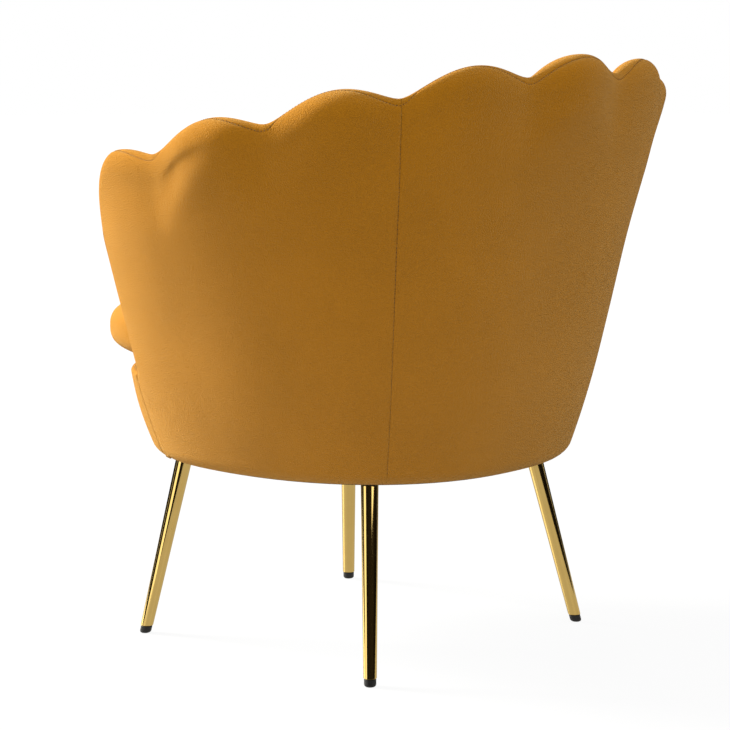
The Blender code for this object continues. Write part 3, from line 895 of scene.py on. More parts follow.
def swept_mesh(tub: Tub, angles: Sequence[float], loop: Callable[[float], List[Point]], laced: bool = False) -> Mesh:
    """A closed body swept round the tub.

    Args:
        tub: The tub's curves.
        angles: Angle of each ring of corners.
        loop: Gives a ring's corners in order, as depth and height.
        laced: Whether the ends are closed by strips across a long, narrow loop.

    Returns:
        The body, closed at both ends, its faces outwards.
    """
    rings = [loop(angle) for angle in angles]
    last, count = len(rings) - 1, len(rings[0])
    bm = bmesh.new()
    bmesh.ops.create_cone(bm, cap_ends=True, segments=count, radius1=1.0, radius2=1.0, depth=2.0)
    upright = [edge for edge in bm.edges if abs(edge.verts[0].co.z - edge.verts[1].co.z) > 1.0]
    bmesh.ops.subdivide_edges(bm, edges=upright, cuts=last - 1, use_grid_fill=True)

    def corner(vertex: bmesh.types.BMVert) -> int:
        """Which corner of its ring a vertex is."""
        return round(math.atan2(vertex.co.x, vertex.co.y) / math.tau * count) % count

    ends = [face for face in bm.faces if len(face.verts) > 4]
    if laced:
        for row in [sorted(face.verts, key=corner) for face in ends]:
            for index in range(1, count // 2 - 1):
                bmesh.ops.connect_verts(bm, verts=[row[index], row[count - 1 - index]])
    for vertex in bm.verts:
        ring = round((vertex.co.z + 1.0) / 2.0 * last)
        vertex.co = tub.place(angles[ring], *rings[ring][corner(vertex)])
    ends = [face for face in bm.faces if len(face.verts) > 4]
    bmesh.ops.triangulate(bm, faces=ends)
    bmesh.ops.recalc_face_normals(bm, faces=bm.faces)
    return bm


def even_path(points: Sequence[Vector], pitch: float) -> List[Tuple[Vector, Vector]]:
    """Places at an even pitch along a line, each with the line's direction there.

    Args:
        points: Corners of the line.
        pitch: Distance between places.

    Returns:
        Each place and direction.
    """
    found, left = [], pitch / 2.0
    for start, end in zip(points, points[1:]):
        along = end - start
        length = along.length
        while left <= length:
            found.append((start + along * (left / length), along.normalized()))
            left += pitch
        left -= length
    return found


@dataclass
class Piecework:
    """What every sub-assembly has: the tub's curves and the finishes."""

    tub: Tub
    wardrobe: Wardrobe

    def attach(self, piece: Piece, slot: Slot, body: str = CHAIR, stands_for: Sequence[str] = ()) -> Piece:
        """Let a piece ride on a body and stand for its CAD nodes.

        Args:
            piece: The piece.
            slot: Not used.
            body: Body that it moves with.
            stands_for: CAD nodes that it replaces.

        Returns:
            The same piece.
        """
        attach(piece, body)
        if stands_for:
            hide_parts(*stands_for)
        return piece

    def in_velvet(self, name: str, bm: Mesh, node: str, body: str = CHAIR) -> Piece:
        """A new piece in velvet that stands for one CAD node."""
        return self.attach(finished(name, bm, self.wardrobe.wear(VELVET)), Slot.VELVET, body, [node])


@dataclass
class Stitching(Piecework):
    """Rows of sewing stitches that lie in the seams."""

    length: float = 0.0011
    width: float = 0.00062
    upright_pitch: float = 0.0060
    rim_pitch: float = 0.0044
    sink: float = 0.0011
    rim_sink: float = 0.0004
    upright_points: int = 60
    rim_points: int = 240

    def row(self, name: str, line: Sequence[Vector], pitch: float) -> Piece:
        """One row of stitches along a line.

        Args:
            name: Name of the row.
            line: Points along the seam's floor.
            pitch: Distance between stitches.

        Returns:
            The row as one piece.
        """
        bm = bmesh.new()
        for point, along in even_path(line, pitch):
            outward = Vector((point.x, point.y - self.tub.axis_y, 0.0)).normalized()
            across = along.cross(outward).normalized()
            outward = across.cross(along)
            turn = Matrix((along, across, outward)).transposed().to_4x4()
            size = Matrix.Diagonal((self.length, self.width, self.width, 1.0))
            where = Matrix.Translation(point) @ turn @ size
            bmesh.ops.create_icosphere(bm, subdivisions=1, radius=1.0, matrix=where)
        return self.attach(finished(name, bm, self.wardrobe.wear(THREAD)), Slot.VELVET)

    def upright_line(self, angle: float) -> List[Vector]:
        """The upright seam at this angle, from the bottom edge to the rim seam.

        Args:
            angle: Angle round the tub, from the middle of the back.

        Returns:
            Points of the line.
        """
        tub = self.tub
        low, high = tub.body_bottom + tub.bottom_round, tub.spring_line(angle)
        count = self.upright_points
        heights = [blend(low, high, index / count) for index in range(count + 1)]
        return [tub.place(angle, self.sink - tub.bulge(angle, height), height) for height in heights]

    def rim_line(self, start: float, end: float) -> List[Vector]:
        """The rim seam between two angles.

        Args:
            start: First angle.
            end: Last angle.

        Returns:
            Points of the line.
        """
        tub = self.tub
        found = []
        for index in range(self.rim_points + 1):
            angle = blend(start, end, index / self.rim_points)
            outer = -tub.bulge(angle, tub.spring_line(angle))
            depth, height = tub.roll_point(angle, outer, tub.pad_face(angle), tub.seam_turn(angle))
            found.append(tub.place(angle, depth + self.rim_sink, height - self.rim_sink))
        return found

    def make(self) -> List[Piece]:
        """Two upright rows and one row along the rim."""
        made = []
        for side in Side:
            line = self.upright_line(side.value * self.tub.seam_angle)
            made.append(self.row(f"upright_seam_stitches_{side.word}", line, self.upright_pitch))
        start = self.tub.facing_start
        made.append(self.row("rim_seam_stitches", self.rim_line(-start, start), self.rim_pitch))
        return made


@dataclass
class OuterCovers(Piecework):
    """The velvet panels stretched over the outside of the shell."""

    cloth: float = 0.0022
    column_step: float = 0.0042
    side_rows: int = 118
    round_rows: int = 8
    roll_rows: int = 9
    seam_dip: float = 0.0009
    rim_dip: float = 0.0007
    seam_width: float = 0.0019
    unevenness: float = 0.0009
    unevenness_scale: Point = (2.4, 7.0)
    unevenness_seed: float = 0.3
    even_height: float = 0.05

    def relief(self, angle: float, height: float) -> float:
        """How far the cloth stands out at a place, with its lobes and soft unevenness.

        Args:
            angle: Angle round the tub, from the middle of the back.
            height: Height above the floor.

        Returns:
            The distance from the plain flare, outwards.
        """
        tub = self.tub
        out = tub.bulge(angle, height)
        across, up = self.unevenness_scale
        spot = Vector((math.radians(angle) * across, height * up, self.unevenness_seed))
        out += self.unevenness * noise.noise(spot) * smoothstep((height - tub.body_bottom) / self.even_height)
        return out - self.seam_dip * hump(tub.edge_distance(angle, height, tub.seam_angle), self.seam_width)

    def strip(self, angle: float) -> List[Point]:
        """A column of the cover, from its turned-in edge below to the rim seam.

        Args:
            angle: Angle round the tub, from the middle of the back.

        Returns:
            Depth and height of each corner.
        """
        tub = self.tub
        found = tub.hem(self.round_rows)
        low, high = tub.body_bottom + tub.bottom_round, tub.spring_line(angle)
        for index in range(self.side_rows):
            height = blend(low, high, index / self.side_rows)
            found.append((-self.relief(angle, height), height))
        outer = -self.relief(angle, high)
        last = tub.seam_turn(angle)
        for index in range(self.roll_rows + 1):
            turn = last * index / self.roll_rows
            found.append(tub.sewn_roll(angle, outer, turn, self.rim_dip, self.seam_width))
        return found

    def panel(self, name: str, start: float, end: float, flat: Point, area: float, node: str) -> Piece:
        """One cover panel.

        Args:
            name: Name of the piece.
            start: Angle of its first edge.
            end: Angle of its other edge.
            flat: Not used.
            area: Not used.
            node: CAD node that it stands for.

        Returns:
            The panel.
        """
        bm = sheet_mesh(self.tub, self.tub.columns(start, end, self.column_step), self.strip)
        piece = self.in_velvet(name, bm, node)
        thickness = piece.modifiers.new("cloth", "SOLIDIFY")
        thickness.thickness = self.cloth
        thickness.offset = -1.0
        return piece

    def make(self) -> List[Piece]:
        """The back panel and the two side panels."""
        tub = self.tub
        seam, front = tub.seam_angle, tub.facing_start
        return [
            self.panel("back_velvet", -seam, seam, (0.60, 0.56), 0.30, "back_cover"),
            self.panel("side_velvet_left", seam, front, (0.56, 0.56), 0.25, "side_cover_left"),
            self.panel("side_velvet_right", -front, -seam, (0.56, 0.56), 0.25, "side_cover_right"),
        ]


@dataclass
class ChannelPads(Piecework):
    """Nine stuffed channels that line the shell and roll over its rim."""

    column_step: float = 0.0050
    roll_rows: int = 34
    face_rows: int = 64
    back_rows: int = 6
    pucker: float = 0.0016
    pucker_scale: Point = (9.0, 26.0)
    pucker_seed: float = 1.7
    seam_dip: float = 0.0006
    seam_width: float = 0.0016

    def stuffed(self, angle: float, share: float) -> float:
        """Depth of the pad's inner face, this share of the way down from the roll to the deck.

        Args:
            angle: Angle round the tub, from the middle of the back.
            share: 0 below the roll and 1 at the deck.

        Returns:
            The depth.
        """
        tub = self.tub
        full = tub.pad_face(angle) - tub.pad_back
        taper = 1.0 - (1.0 - tub.pad_taper) * share
        across, down = self.pucker_scale
        spot = Vector((math.radians(angle) * across, share * down, self.pucker_seed))
        gather = self.pucker * noise.noise(spot) * (1.0 - tub.lobe(angle)) ** 2
        return tub.pad_back + full * taper + gather

    def loop(self, angle: float) -> List[Point]:
        """Outline of a pad: from the rim seam over the roll, down inside, and up its back.

        Args:
            angle: Angle round the tub, from the middle of the back.

        Returns:
            Depth and height of each corner.
        """
        tub = self.tub
        spring = tub.spring_line(angle)
        outer = -tub.bulge(angle, spring)
        first = tub.seam_turn(angle)
        found = []
        for index in range(self.roll_rows):
            turn = blend(first, math.pi, index / self.roll_rows)
            found.append(tub.sewn_roll(angle, outer, turn, self.seam_dip, self.seam_width))
        top = tub.rim(angle) - tub.roll_inside
        low = tub.seat_deck + tub.gap
        for index in range(self.face_rows + 1):
            share = index / self.face_rows
            found.append((self.stuffed(angle, share), blend(top, low, share)))
        board_top = spring + tub.seam_lap + tub.gap
        for index in range(self.back_rows + 1):
            found.append((tub.pad_back, blend(low, board_top, index / self.back_rows)))
        edge = tub.board_out - tub.gap
        found.append((edge, board_top))
        found.append((edge, spring + tub.seam_lap / 2.0))
        return found

    def make(self) -> List[Piece]:
        """The centre pad, then the others in pairs towards the arms."""
        tub = self.tub
        edges = (*tub.lobe_edges[:-1], tub.facing_start)
        spans = [("centre", -edges[0], edges[0])]
        for word, low, high in zip(("inner_back", "outer_back", "side", "arm"), edges, edges[1:]):
            spans.append((f"{word}_left", low, high))
            spans.append((f"{word}_right", -high, -low))
        made = []
        for word, low, high in spans:
            bm = swept_mesh(tub, tub.columns(low, high, self.column_step), self.loop)
            piece = self.in_velvet(f"channel_{word}", bm, f"channel_pad_{word}")
            made.append(piece)
        return made


@dataclass
class ArmFacings(Piecework):
    """The padded fronts of the arms, rolled round from the outside to the inside."""

    rings: int = 22
    rows: int = 70
    last_turn: float = 86.0
    roll_rows: int = 24
    narrowing: float = 0.06
    fill_below: float = 0.012
    fill_height: float = 0.03
    toe_height: float = 0.008
    toe_share: float = 0.5
    start_gap: float = 0.03

    def fullness(self, height: float) -> float:
        """0 where the facing covers the rail's end alone and 1 where it covers the whole arm."""
        return smoothstep((height - self.tub.seat_deck + self.fill_below) / self.fill_height)

    def loop(self, angle: float) -> List[Point]:
        """Outline of a facing at an angle: outside from the bottom, over the rim and down inside.

        Args:
            angle: Angle round the tub, from the middle of the back.

        Returns:
            Depth and height of each corner.
        """
        tub = self.tub
        face = tub.pad_face(tub.facing_start)
        part = (abs(angle) - tub.facing_start) / (tub.arm_angle - tub.facing_start)
        part = clamp(part) * math.sin(math.radians(self.last_turn))
        share = math.sqrt(1.0 - part * part)
        spring = tub.spring_line(angle)
        middle_low = tub.facing_pad / 2.0
        middle = (face - tub.bulge(angle, spring)) / 2.0
        flush = 1.0 - self.narrowing * part * part
        found = []
        under = tub.body_bottom + tub.cover
        for index in range(self.rows):
            height = blend(under, spring, index / self.rows)
            fill = self.fullness(height)
            centre = blend(middle_low, middle, fill)
            half = blend(middle_low, (face + tub.bulge(angle, height)) / 2.0, fill)
            low_edge = 1.0 - self.toe_share * hump(height - under, self.toe_height)
            found.append((centre - half * blend(flush, share, fill) * low_edge, height))
        half = (face + tub.bulge(angle, spring)) / 2.0 * share
        outer, inner = middle - half, middle + half
        for index in range(self.roll_rows + 1):
            found.append(tub.roll_point(angle, outer, inner, math.pi * index / self.roll_rows))
        top = tub.rim(angle) - tub.roll_inside
        for index in range(1, self.rows):
            height = blend(top, under, index / self.rows)
            found.append((blend(middle_low + middle_low * share, inner, self.fullness(height)), height))
        return found

    def make(self) -> List[Piece]:
        """The two facings."""
        tub = self.tub
        made = []
        turns = [math.radians(self.last_turn) * index / self.rings for index in range(self.rings + 1)]
        shares = [math.sin(turn) / math.sin(turns[-1]) for turn in turns]
        start = tub.facing_start + self.start_gap
        for side in Side:
            angles = [side.value * blend(start, tub.arm_angle, share) for share in shares]
            bm = swept_mesh(tub, angles, self.loop, laced=True)
            piece = self.in_velvet(f"arm_front_{side.word}", bm, f"arm_facing_{side.word}")
            made.append(piece)
        return made


@dataclass
class FrontBand(Piecework):
    """The padded cover of the front rail, from arm to arm below the cushion."""

    column_step: float = 0.006
    rows: int = 26
    round_rows: int = 8
    top_rows: int = 12
    puff: float = 0.0022
    puff_ends: float = 9.0

    def loop(self, angle: float) -> List[Point]:
        """Outline of the band: turned in below, up the front, round the top and down behind.

        Args:
            angle: Angle round the tub, from the middle of the back.

        Returns:
            Depth and height of each corner.
        """
        tub = self.tub
        pad = tub.facing_pad
        found = tub.hem(self.round_rows)
        low, top = tub.body_bottom + tub.bottom_round, tub.seat_deck - pad / 2.0
        ends = smoothstep((abs(angle - 180.0) - 180.0 + tub.arm_angle) / -self.puff_ends)
        for index in range(self.rows):
            puff = self.puff * math.sin(math.pi * index / self.rows) * ends
            found.append((-puff, blend(low, top, index / self.rows)))
        for index in range(self.top_rows + 1):
            turn = math.pi * index / self.top_rows
            found.append((pad / 2.0 * (1.0 - math.cos(turn)), top + pad / 2.0 * math.sin(turn)))
        found.append((pad, low))
        found.append((tub.bottom_round + tub.cover_turn_in, tub.body_bottom + tub.cover))
        return found

    def make(self) -> List[Piece]:
        """The band as one piece."""
        tub = self.tub
        angles = tub.columns(tub.arm_angle, 360.0 - tub.arm_angle, self.column_step)
        piece = self.in_velvet("front_band", swept_mesh(tub, angles, self.loop), "front_rail_cover")
        return [piece]


@dataclass
class SeatCushion(Piecework):
    """The loose seat cushion: a crowned top, a rounded nose and sides that follow the channels."""

    half_width: float = 0.262
    front: float = 0.330
    drawn_in: float = 0.004
    squareness: float = 3.1
    side: float = 0.092
    crown: float = 0.022
    clearance: float = 0.006
    waist_lap: float = 1.0
    opening: float = 2.0
    corner_soft: float = 0.02
    blur: float = 34.0
    blur_reach: int = 60
    blur_step: int = 3
    plan_power: float = 5.4
    side_power: float = 2.9
    lean: float = 0.8
    middle_share: float = 0.25
    meridians: int = 128
    parallels: int = 64

    def reach(self, angle: float, height: float) -> float:
        """Plan outline at a height: against the pads inside the flaring tub, rounded and square in front.

        Args:
            angle: Angle round the tub, from the middle of the back.
            height: Height above the floor.

        Returns:
            Distance of the outline from the tub's axis.
        """
        tub = self.tub
        turn = math.radians(angle)
        across = (abs(math.sin(turn)) / self.half_width) ** self.squareness
        along = (abs(math.cos(turn)) / (self.front - self.drawn_in)) ** self.squareness
        ahead = (across + along) ** (-1.0 / self.squareness)
        inside = tub.plan_radius(angle, height) - tub.pad_back - tub.crown_pad - self.clearance
        past = math.radians(max(0.0, abs(angle) - tub.arm_angle - self.waist_lap))
        inside += past * self.front * self.opening
        soft = self.corner_soft
        return (ahead + inside - math.hypot(ahead - inside, soft)) / 2.0 + soft / 8.0

    @cached_property
    def rounded(self) -> Tuple[float, ...]:
        """The plan outline smoothed over its corners, for each degree all the way round."""
        def outline(angle: float) -> float:
            """The outline at the deck, at any angle."""
            return self.reach((angle + 180.0) % 360.0 - 180.0, self.tub.seat_deck)

        steps = range(-self.blur_reach, self.blur_reach + 1, self.blur_step)
        return tuple(blurred(outline, angle, self.blur, steps) for angle in range(361))

    def section(self, share: float) -> Point:
        """The upright section from the middle of the underside, 0, to the middle of the top, 1.

        Args:
            share: How far along the section.

        Returns:
            Share of the reach, and rise as a share of the side's height.
        """
        turn = math.pi * share
        out = math.sin(turn) ** (2.0 / self.plan_power)
        rise = 0.5 - 0.5 * math.copysign(abs(math.cos(turn)) ** (2.0 / self.side_power), math.cos(turn))
        return out, rise

    def make(self) -> List[Piece]:
        """The cushion as one stuffed piece."""
        tub = self.tub
        bm = bmesh.new()
        bmesh.ops.create_uvsphere(bm, u_segments=self.meridians, v_segments=self.parallels, radius=1.0)
        low = tub.seat_deck + tub.gap
        for vertex in bm.verts:
            share = 1.0 - math.acos(min(max(vertex.co.z, -1.0), 1.0)) / math.pi
            out, rise = self.section(share)
            angle = math.degrees(math.atan2(vertex.co.x, vertex.co.y))
            crown = self.crown * max(0.0, 1.0 - out * out) * smoothstep((rise - 0.5) * 2.0)
            turn = math.radians(angle)
            height = low + self.side * rise + crown
            edge = self.reach(angle, low + self.lean * self.side * rise)
            middle = tub.between(self.rounded, angle % 360.0)
            radius = blend(middle, edge, smoothstep((out - self.middle_share) / (1.0 - self.middle_share))) * out
            vertex.co = Vector((radius * math.sin(turn), tub.axis_y + radius * math.cos(turn), height))
        bmesh.ops.recalc_face_normals(bm, faces=bm.faces)
        piece = self.in_velvet("seat_cushion_velvet", bm, "seat_cushion", CUSHION)
        return [piece]


@dataclass
class Legs(Piecework):
    """Four tapered tubes with their black tips."""

    top_radius: float = 0.0116
    foot_radius: float = 0.0087
    wall: float = 0.0015
    tip_radius: float = 0.0079
    tip_height: float = 0.010
    lip: float = 0.0007
    tip_flat: float = 0.56
    tip_edge: float = 0.44
    tip_steps: int = 5
    tip_lip: float = 0.0004
    tip_plug: float = 0.0006
    sharp_angle: float = 30.0
    segments: int = 64

    def axis(self, node: str) -> Tuple[Vector, Vector]:
        """Centres of a CAD leg's foot and top.

        Args:
            node: Name of the leg's CAD node.

        Returns:
            The foot's centre and the top's.
        """
        corners = [vertex.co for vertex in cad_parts[node].data.vertices]
        ends = []
        for height in (min(point.z for point in corners), max(point.z for point in corners)):
            level = [point for point in corners if abs(point.z - height) < 1e-4]
            ends.append(sum(level, Vector()) / len(level))
        return ends[0], ends[1]

    def turned(self, profile: Sequence[Point], foot: Vector, top: Vector) -> Mesh:
        """A turned body, leant so that its axis runs through two points.

        Args:
            profile: Radius and height of each corner, from the axis or round a wall.
            foot: A point of the axis.
            top: A higher point of the axis.

        Returns:
            The body.
        """
        bm = bmesh.new()
        corners = [bm.verts.new((radius, 0.0, height)) for radius, height in profile]
        edges = [bm.edges.new(pair) for pair in zip(corners, corners[1:])]
        bmesh.ops.spin(
            bm, geom=corners + edges, cent=(0, 0, 0), axis=(0, 0, 1),
            angle=math.tau, steps=self.segments, use_merge=True,
        )
        bmesh.ops.remove_doubles(bm, verts=bm.verts, dist=1e-6)
        slope = (top - foot) / (top.z - foot.z)
        for vertex in bm.verts:
            centre = foot + slope * (vertex.co.z - foot.z)
            vertex.co = Vector((centre.x + vertex.co.x, centre.y + vertex.co.y, vertex.co.z))
        bmesh.ops.recalc_face_normals(bm, faces=bm.faces)
        return bm

    def tube(self, foot: float, top: float) -> List[Point]:
        """Half section of a leg between two heights: a tapered tube, closed a little way inside its foot.

        Args:
            foot: Height of its foot.
            top: Height of its top.

        Returns:
            Radius and height of each corner.
        """
        lip, bore = self.lip, self.foot_radius - self.wall
        return [
            (0.0, foot + lip), (bore, foot + lip), (bore + lip, foot), (self.foot_radius - lip, foot),
            (self.foot_radius, foot + lip), (self.top_radius, top - lip), (self.top_radius - lip, top), (0.0, top),
        ]

    def tip(self) -> List[Point]:
        """Half section of a tip: flat below, rounded at its edge, and plugged into the tube."""
        radius, height, lip = self.tip_radius, self.tip_height, self.tip_lip
        plug = self.foot_radius - self.wall - lip
        section = [(0.0, 0.0), (radius * self.tip_flat, 0.0)]
        for index in range(1, self.tip_steps + 1):
            turn = math.pi / 2.0 * index / self.tip_steps
            out = radius * (self.tip_flat + self.tip_edge * math.sin(turn))
            section.append((out, radius * self.tip_edge * (1.0 - math.cos(turn))))
        section += [(radius, height - lip), (radius - lip, height), (plug, height)]
        return section + [(plug, height + self.tip_plug), (0.0, height + self.tip_plug)]

    def fitted(self, node: str, name: str, profile: Sequence[Point], finish: Finish, slot: Slot) -> Piece:
        """A turned piece on the axis of a leg.

        Args:
            node: CAD node that the piece stands for.
            name: Name of the piece.
            profile: Its half section.
            finish: What it wears.
            slot: Slot of the record, passed on with the piece.

        Returns:
            The piece.
        """
        foot, top = self.axis(node.replace("foot_tip", "leg"))
        piece = finished(name, self.turned(profile, foot, top), self.wardrobe.wear(finish))
        piece.data.set_sharp_from_angle(angle=math.radians(self.sharp_angle))
        return self.attach(piece, slot, stands_for=[node])

    def make(self) -> List[Piece]:
        """The legs and tips, each in place of its CAD node."""
        made = []
        for end in ("front", "back"):
            for side in Side:
                word = f"{end}_{side.word}"
                foot, top = self.axis(f"leg_{word}")
                tube = self.tube(foot.z, top.z)
                made.append(self.fitted(f"leg_{word}", f"leg_tube_{word}", tube, PLATING, Slot.BRASS))
                made.append(self.fitted(f"foot_tip_{word}", f"tip_{word}", self.tip(), PLASTIC, Slot.PLASTIC))
        return made


@dataclass
class InnerFrame(Piecework):
    """The CAD nodes that stay: the timber, the boards, the suspension and the fixings."""

    # Words in the nodes' names, the first that fits counts
    by_word: Tuple[Tuple[str, Finish], ...] = (
        ("board", PLYWOOD), ("strip", ZINC), ("block", PINE), ("plate", PLATING), ("bolt", ZINC),
        ("spring", ZINC), ("insulator", FELT), ("dust", LINING), ("foot", PLASTIC), ("leg", PLATING),
        ("rail_cover", VELVET), ("rail", PINE),
    )

    def finish_of(self, node: str) -> Finish:
        """The finish of the first word that a CAD node's name holds, or else velvet."""
        return next((finish for word, finish in self.by_word if word in node), VELVET)

    def make(self) -> List[Piece]:
        """Dress every CAD node and give those that show."""
        shown = []
        for name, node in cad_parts.items():
            node.data.materials.clear()
            node.data.materials.append(self.wardrobe.wear(self.finish_of(name)))
            if not node.hide_render:
                shown.append(node)
        return shown


@dataclass
class Studio:
    """White floor and surroundings, soft lamps, the camera, and dark screens, glowing panels and a glowing mat that
    only metal mirrors: painted reflections in the legs.
    """

    eye: Vector = Vector((2.6254, 2.2529, 0.8909))
    heading: float = 49.1601
    pitch: float = 8.5269
    roll: float = -0.1498
    focal: float = 126.23
    sensor: float = 36.0
    clip_end: float = 60.0
    aim: Vector = Vector((0.0, 0.0, 0.42))
    # Name, place, length of the sides, watts and colour
    lamps: Tuple[Tuple[str, Tuple[float, float, float], float, float, Colour], ...] = (
        ("key_lamp", (1.353, -3.717, 2.44), 1.3, 460.0, (1.0, 0.98, 0.88)),
        ("top_lamp", (0.4, 0.6, 3.2), 2.6, 8.0, (1.0, 1.0, 1.0)),
        ("right_lamp", (-3.2, 1.9, 1.6), 1.8, 6.0, (1.0, 1.0, 1.0)),
    )
    air: Colour = (0.96, 0.98, 1.0)
    ambient: float = 1.0
    floor_radius: float = 14.0
    floor_sink: float = 0.0002
    floor_grey: Colour = (0.40, 0.40, 0.40)
    floor_glow: float = 1.07
    # Distance from the floor's middle, and the glow's share there
    glow_near: Point = (0.9, 0.86)
    glow_far: Point = (3.2, 1.0)
    # Dark screens: painted dark reflections, seen in the polished legs alone
    screen_paint: Colour = (0.012, 0.010, 0.008)
    # First angle, last angle and height
    screens_at: Tuple[Tuple[float, float, float], ...] = (
        (29.0, 92.0, 3.2), (122.0, 146.0, 3.2), (149.0, 300.0, 3.2), (304.0, 360.0, 3.2), (0.0, 29.0, 0.46),
    )
    screen_away: float = 1.25
    # First angle, last angle and height of the lower edge
    panels_at: Tuple[Tuple[float, float, float], ...] = ((95.0, 119.0, 0.0), (3.0, 26.0, 0.47))
    panel_high: float = 1.5
    # Glow of the bright panels and of the mat: painted highlights and a painted floor reflection in the legs; neither
    # is a lamp
    panel_level: float = 1.7
    mat_glow_level: float = 0.60
    mat_sink: float = 0.0001
    glow_colour: Colour = (1.0, 0.96, 0.88)

    def camera(self) -> None:
        """The camera, at the photograph's angle."""
        data = bpy.data.cameras.new("camera")
        data.sensor_width = self.sensor
        data.lens = self.focal
        data.clip_end = self.clip_end
        camera = linked("camera", data)
        heading, pitch, roll = (math.radians(value) for value in (self.heading, self.pitch, self.roll))
        ahead = Vector((-math.sin(heading) * math.cos(pitch), -math.cos(heading) * math.cos(pitch), -math.sin(pitch)))
        level = ahead.cross(Vector((0.0, 0.0, 1.0))).normalized()
        upright = level.cross(ahead)
        right = level * math.cos(roll) + upright * math.sin(roll)
        up = right.cross(ahead)
        camera.matrix_world = Matrix.Translation(self.eye) @ Matrix((right, up, -ahead)).transposed().to_4x4()
        bpy.context.scene.camera = camera

    def lamp(self, name: str, where: Sequence[float], size: float, power: float, colour: Colour) -> None:
        """A square soft lamp that faces the chair.

        Args:
            name: Its name.
            where: Its place.
            size: Length of its sides.
            power: Its watts.
            colour: Its colour.
        """
        data = bpy.data.lights.new(name, "AREA")
        data.size = size
        data.energy = power
        data.color = colour
        lamp = linked(name, data)
        lamp.location = where
        lamp.rotation_mode = "QUATERNION"
        lamp.rotation_quaternion = (self.aim - Vector(where)).to_track_quat("-Z", "Y")

    def surroundings(self) -> None:
        """The world: white to the camera and to mirrors, and a plain level of light to cloth."""
        world = bpy.data.worlds.new("studio")
        bpy.context.scene.world = world
        tree = NodeTree(world)
        tree.nodes.clear()
        ray = tree.add("ShaderNodeLightPath").outputs
        seen = ray["Is Camera Ray"]
        for other in ("Is Transmission Ray", "Is Glossy Ray"):
            seen = tree.add("ShaderNodeMath", {0: seen, 1: ray[other]}, operation="MAXIMUM").outputs[0]
        dim = tree.add("ShaderNodeBackground", {"Color": self.air, "Strength": self.ambient})
        white = tree.add("ShaderNodeBackground", {"Color": (1.0, 1.0, 1.0), "Strength": 1.0})
        tree.seen_or_not(seen, dim, white, "ShaderNodeOutputWorld")

    def floor_paint(self) -> Material:
        """White paint that keeps a soft shadow and meets the white surroundings without a line."""
        material = bpy.data.materials.new("white_floor")
        tree = NodeTree(material)
        tree.nodes.clear()
        spot = tree.add("ShaderNodeTexCoord").outputs["Object"]
        away = tree.add("ShaderNodeVectorMath", {0: spot}, operation="LENGTH").outputs["Value"]
        (near, least), (far, most) = self.glow_near, self.glow_far
        sizes = {"Value": away, "From Min": near, "From Max": far, "To Min": least, "To Max": most}
        fade = tree.add("ShaderNodeMapRange", sizes, interpolation_type="SMOOTHSTEP").outputs["Result"]
        seen = tree.add("ShaderNodeLightPath").outputs["Is Camera Ray"]
        share = tree.add("ShaderNodeMath", {0: seen, 1: fade}, operation="MULTIPLY")
        paint = tree.add("ShaderNodeBsdfDiffuse", {"Color": self.floor_grey})
        glow = tree.add("ShaderNodeEmission", {"Strength": self.floor_glow})
        tree.seen_or_not(share.outputs[0], paint, glow, "ShaderNodeOutputMaterial")
        return material

    def floor(self) -> None:
        """A wide white floor."""
        bm = bmesh.new()
        bmesh.ops.create_circle(bm, cap_ends=True, segments=96, radius=self.floor_radius)
        floor = finished("studio_floor", bm, self.floor_paint(), smooth=False)
        floor.data.transform(Matrix.Translation((0.0, 0.0, -self.floor_sink)))

    def screens(self) -> None:
        """Dark screens and bright glowing panels round the chair, that only the polished legs mirror: painted dark
        reflections and painted highlights in them.
        """
        paint = NodeBench("dark_screen").settle(
            Base_Color=self.screen_paint, Roughness=1.0, Specular_IOR_Level=0.0
        )
        for index, (start, end, high) in enumerate(self.screens_at):
            self.upright(f"dark_screen_{index + 1}", start, end, 0.0, high, paint)
        light = self.glowing("bright_panel", self.panel_level)
        for index, (start, end, low) in enumerate(self.panels_at):
            self.upright(f"bright_panel_{index + 1}", start, end, low, self.panel_high, light)

    def upright(self, name: str, start: float, end: float, low: float, high: float, paint: Material) -> None:
        """A curved upright screen.

        Args:
            name: Its name.
            start: Angle of its first edge.
            end: Angle of its other edge.
            low: Height of its bottom edge.
            high: Height of its top edge.
            paint: What it wears.
        """
        bm = bmesh.new()
        bmesh.ops.create_grid(bm, x_segments=12, y_segments=1, size=1.0)
        for vertex in bm.verts:
            turn = math.radians(blend(start, end, (vertex.co.x + 1.0) / 2.0))
            height = blend(low, high, (vertex.co.y + 1.0) / 2.0)
            vertex.co = Vector((self.screen_away * math.sin(turn), self.screen_away * math.cos(turn), height))
        self.mirrored_only(finished(name, bm, paint, smooth=False))

    def glowing(self, name: str, level: float) -> Material:
        """A paint that glows evenly at this level."""
        black = (0.0, 0.0, 0.0)
        return NodeBench(name).settle(Base_Color=black, Emission_Color=self.glow_colour, Emission_Strength=level)

    def mat(self) -> None:
        """A grey glowing disc under the chair, that only the polished legs mirror: a painted reflection of the floor
        in them.
        """
        bm = bmesh.new()
        bmesh.ops.create_circle(bm, cap_ends=True, segments=64, radius=self.screen_away)
        mat = finished("floor_reflection_glow", bm, self.glowing("floor_reflection_glow", self.mat_glow_level), smooth=False)
        mat.data.transform(Matrix.Translation((0.0, 0.0, -self.mat_sink)))
        self.mirrored_only(mat)

    def mirrored_only(self, piece: Piece) -> None:
        """Hide a stage piece from everything but mirrors.

        Args:
            piece: The stage piece.
        """
        for sight in ("camera", "diffuse", "transmission", "shadow"):
            setattr(piece, f"visible_{sight}", False)

    def build(self) -> None:
        """Set up the whole studio."""
        self.surroundings()
        self.floor()
        self.screens()
        self.mat()
        for lamp in self.lamps:
            self.lamp(*lamp)
        self.camera()
        bpy.context.scene.view_settings.view_transform = "Standard"


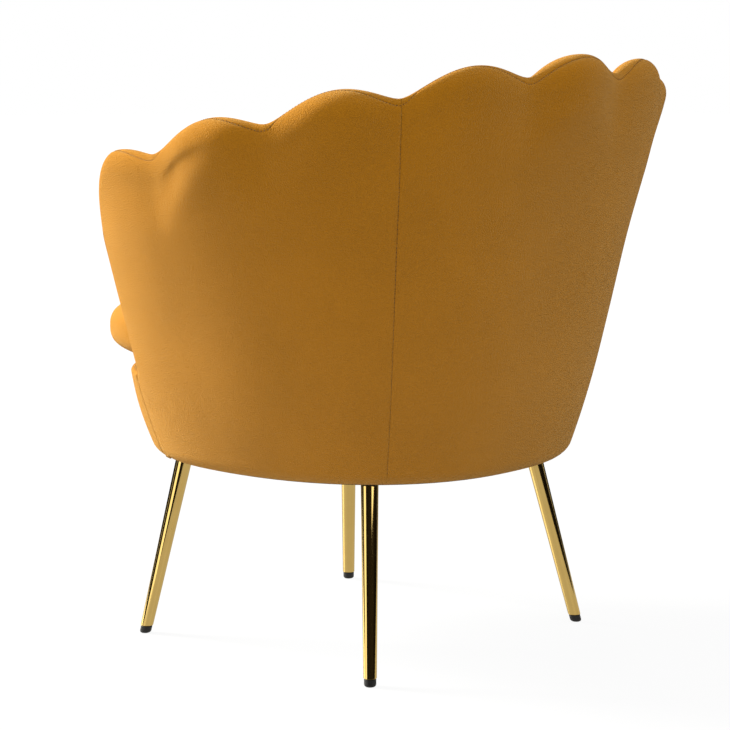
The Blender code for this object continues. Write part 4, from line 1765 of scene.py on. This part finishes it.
def main() -> None:
    """Build the chair's looks in order and report each piece."""
    logging.basicConfig(level=logging.INFO, format="%(name)s: %(message)s")
    Studio().build()
    wardrobe = Wardrobe()
    tub = Tub(axis_y=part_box("seat_cushion")[0].y + SeatCushion.front)
    assemblies = [
        OuterCovers(tub, wardrobe), ChannelPads(tub, wardrobe), ArmFacings(tub, wardrobe),
        FrontBand(tub, wardrobe), Stitching(tub, wardrobe), SeatCushion(tub, wardrobe),
        Legs(tub, wardrobe), InnerFrame(tub, wardrobe),
    ]
    for assembly in assemblies:
        for piece in assembly.make():
            LOG.info("%s: %s, %d faces", type(assembly).__name__, piece.name, len(piece.data.polygons))


if __name__ == "__main__":
    main()
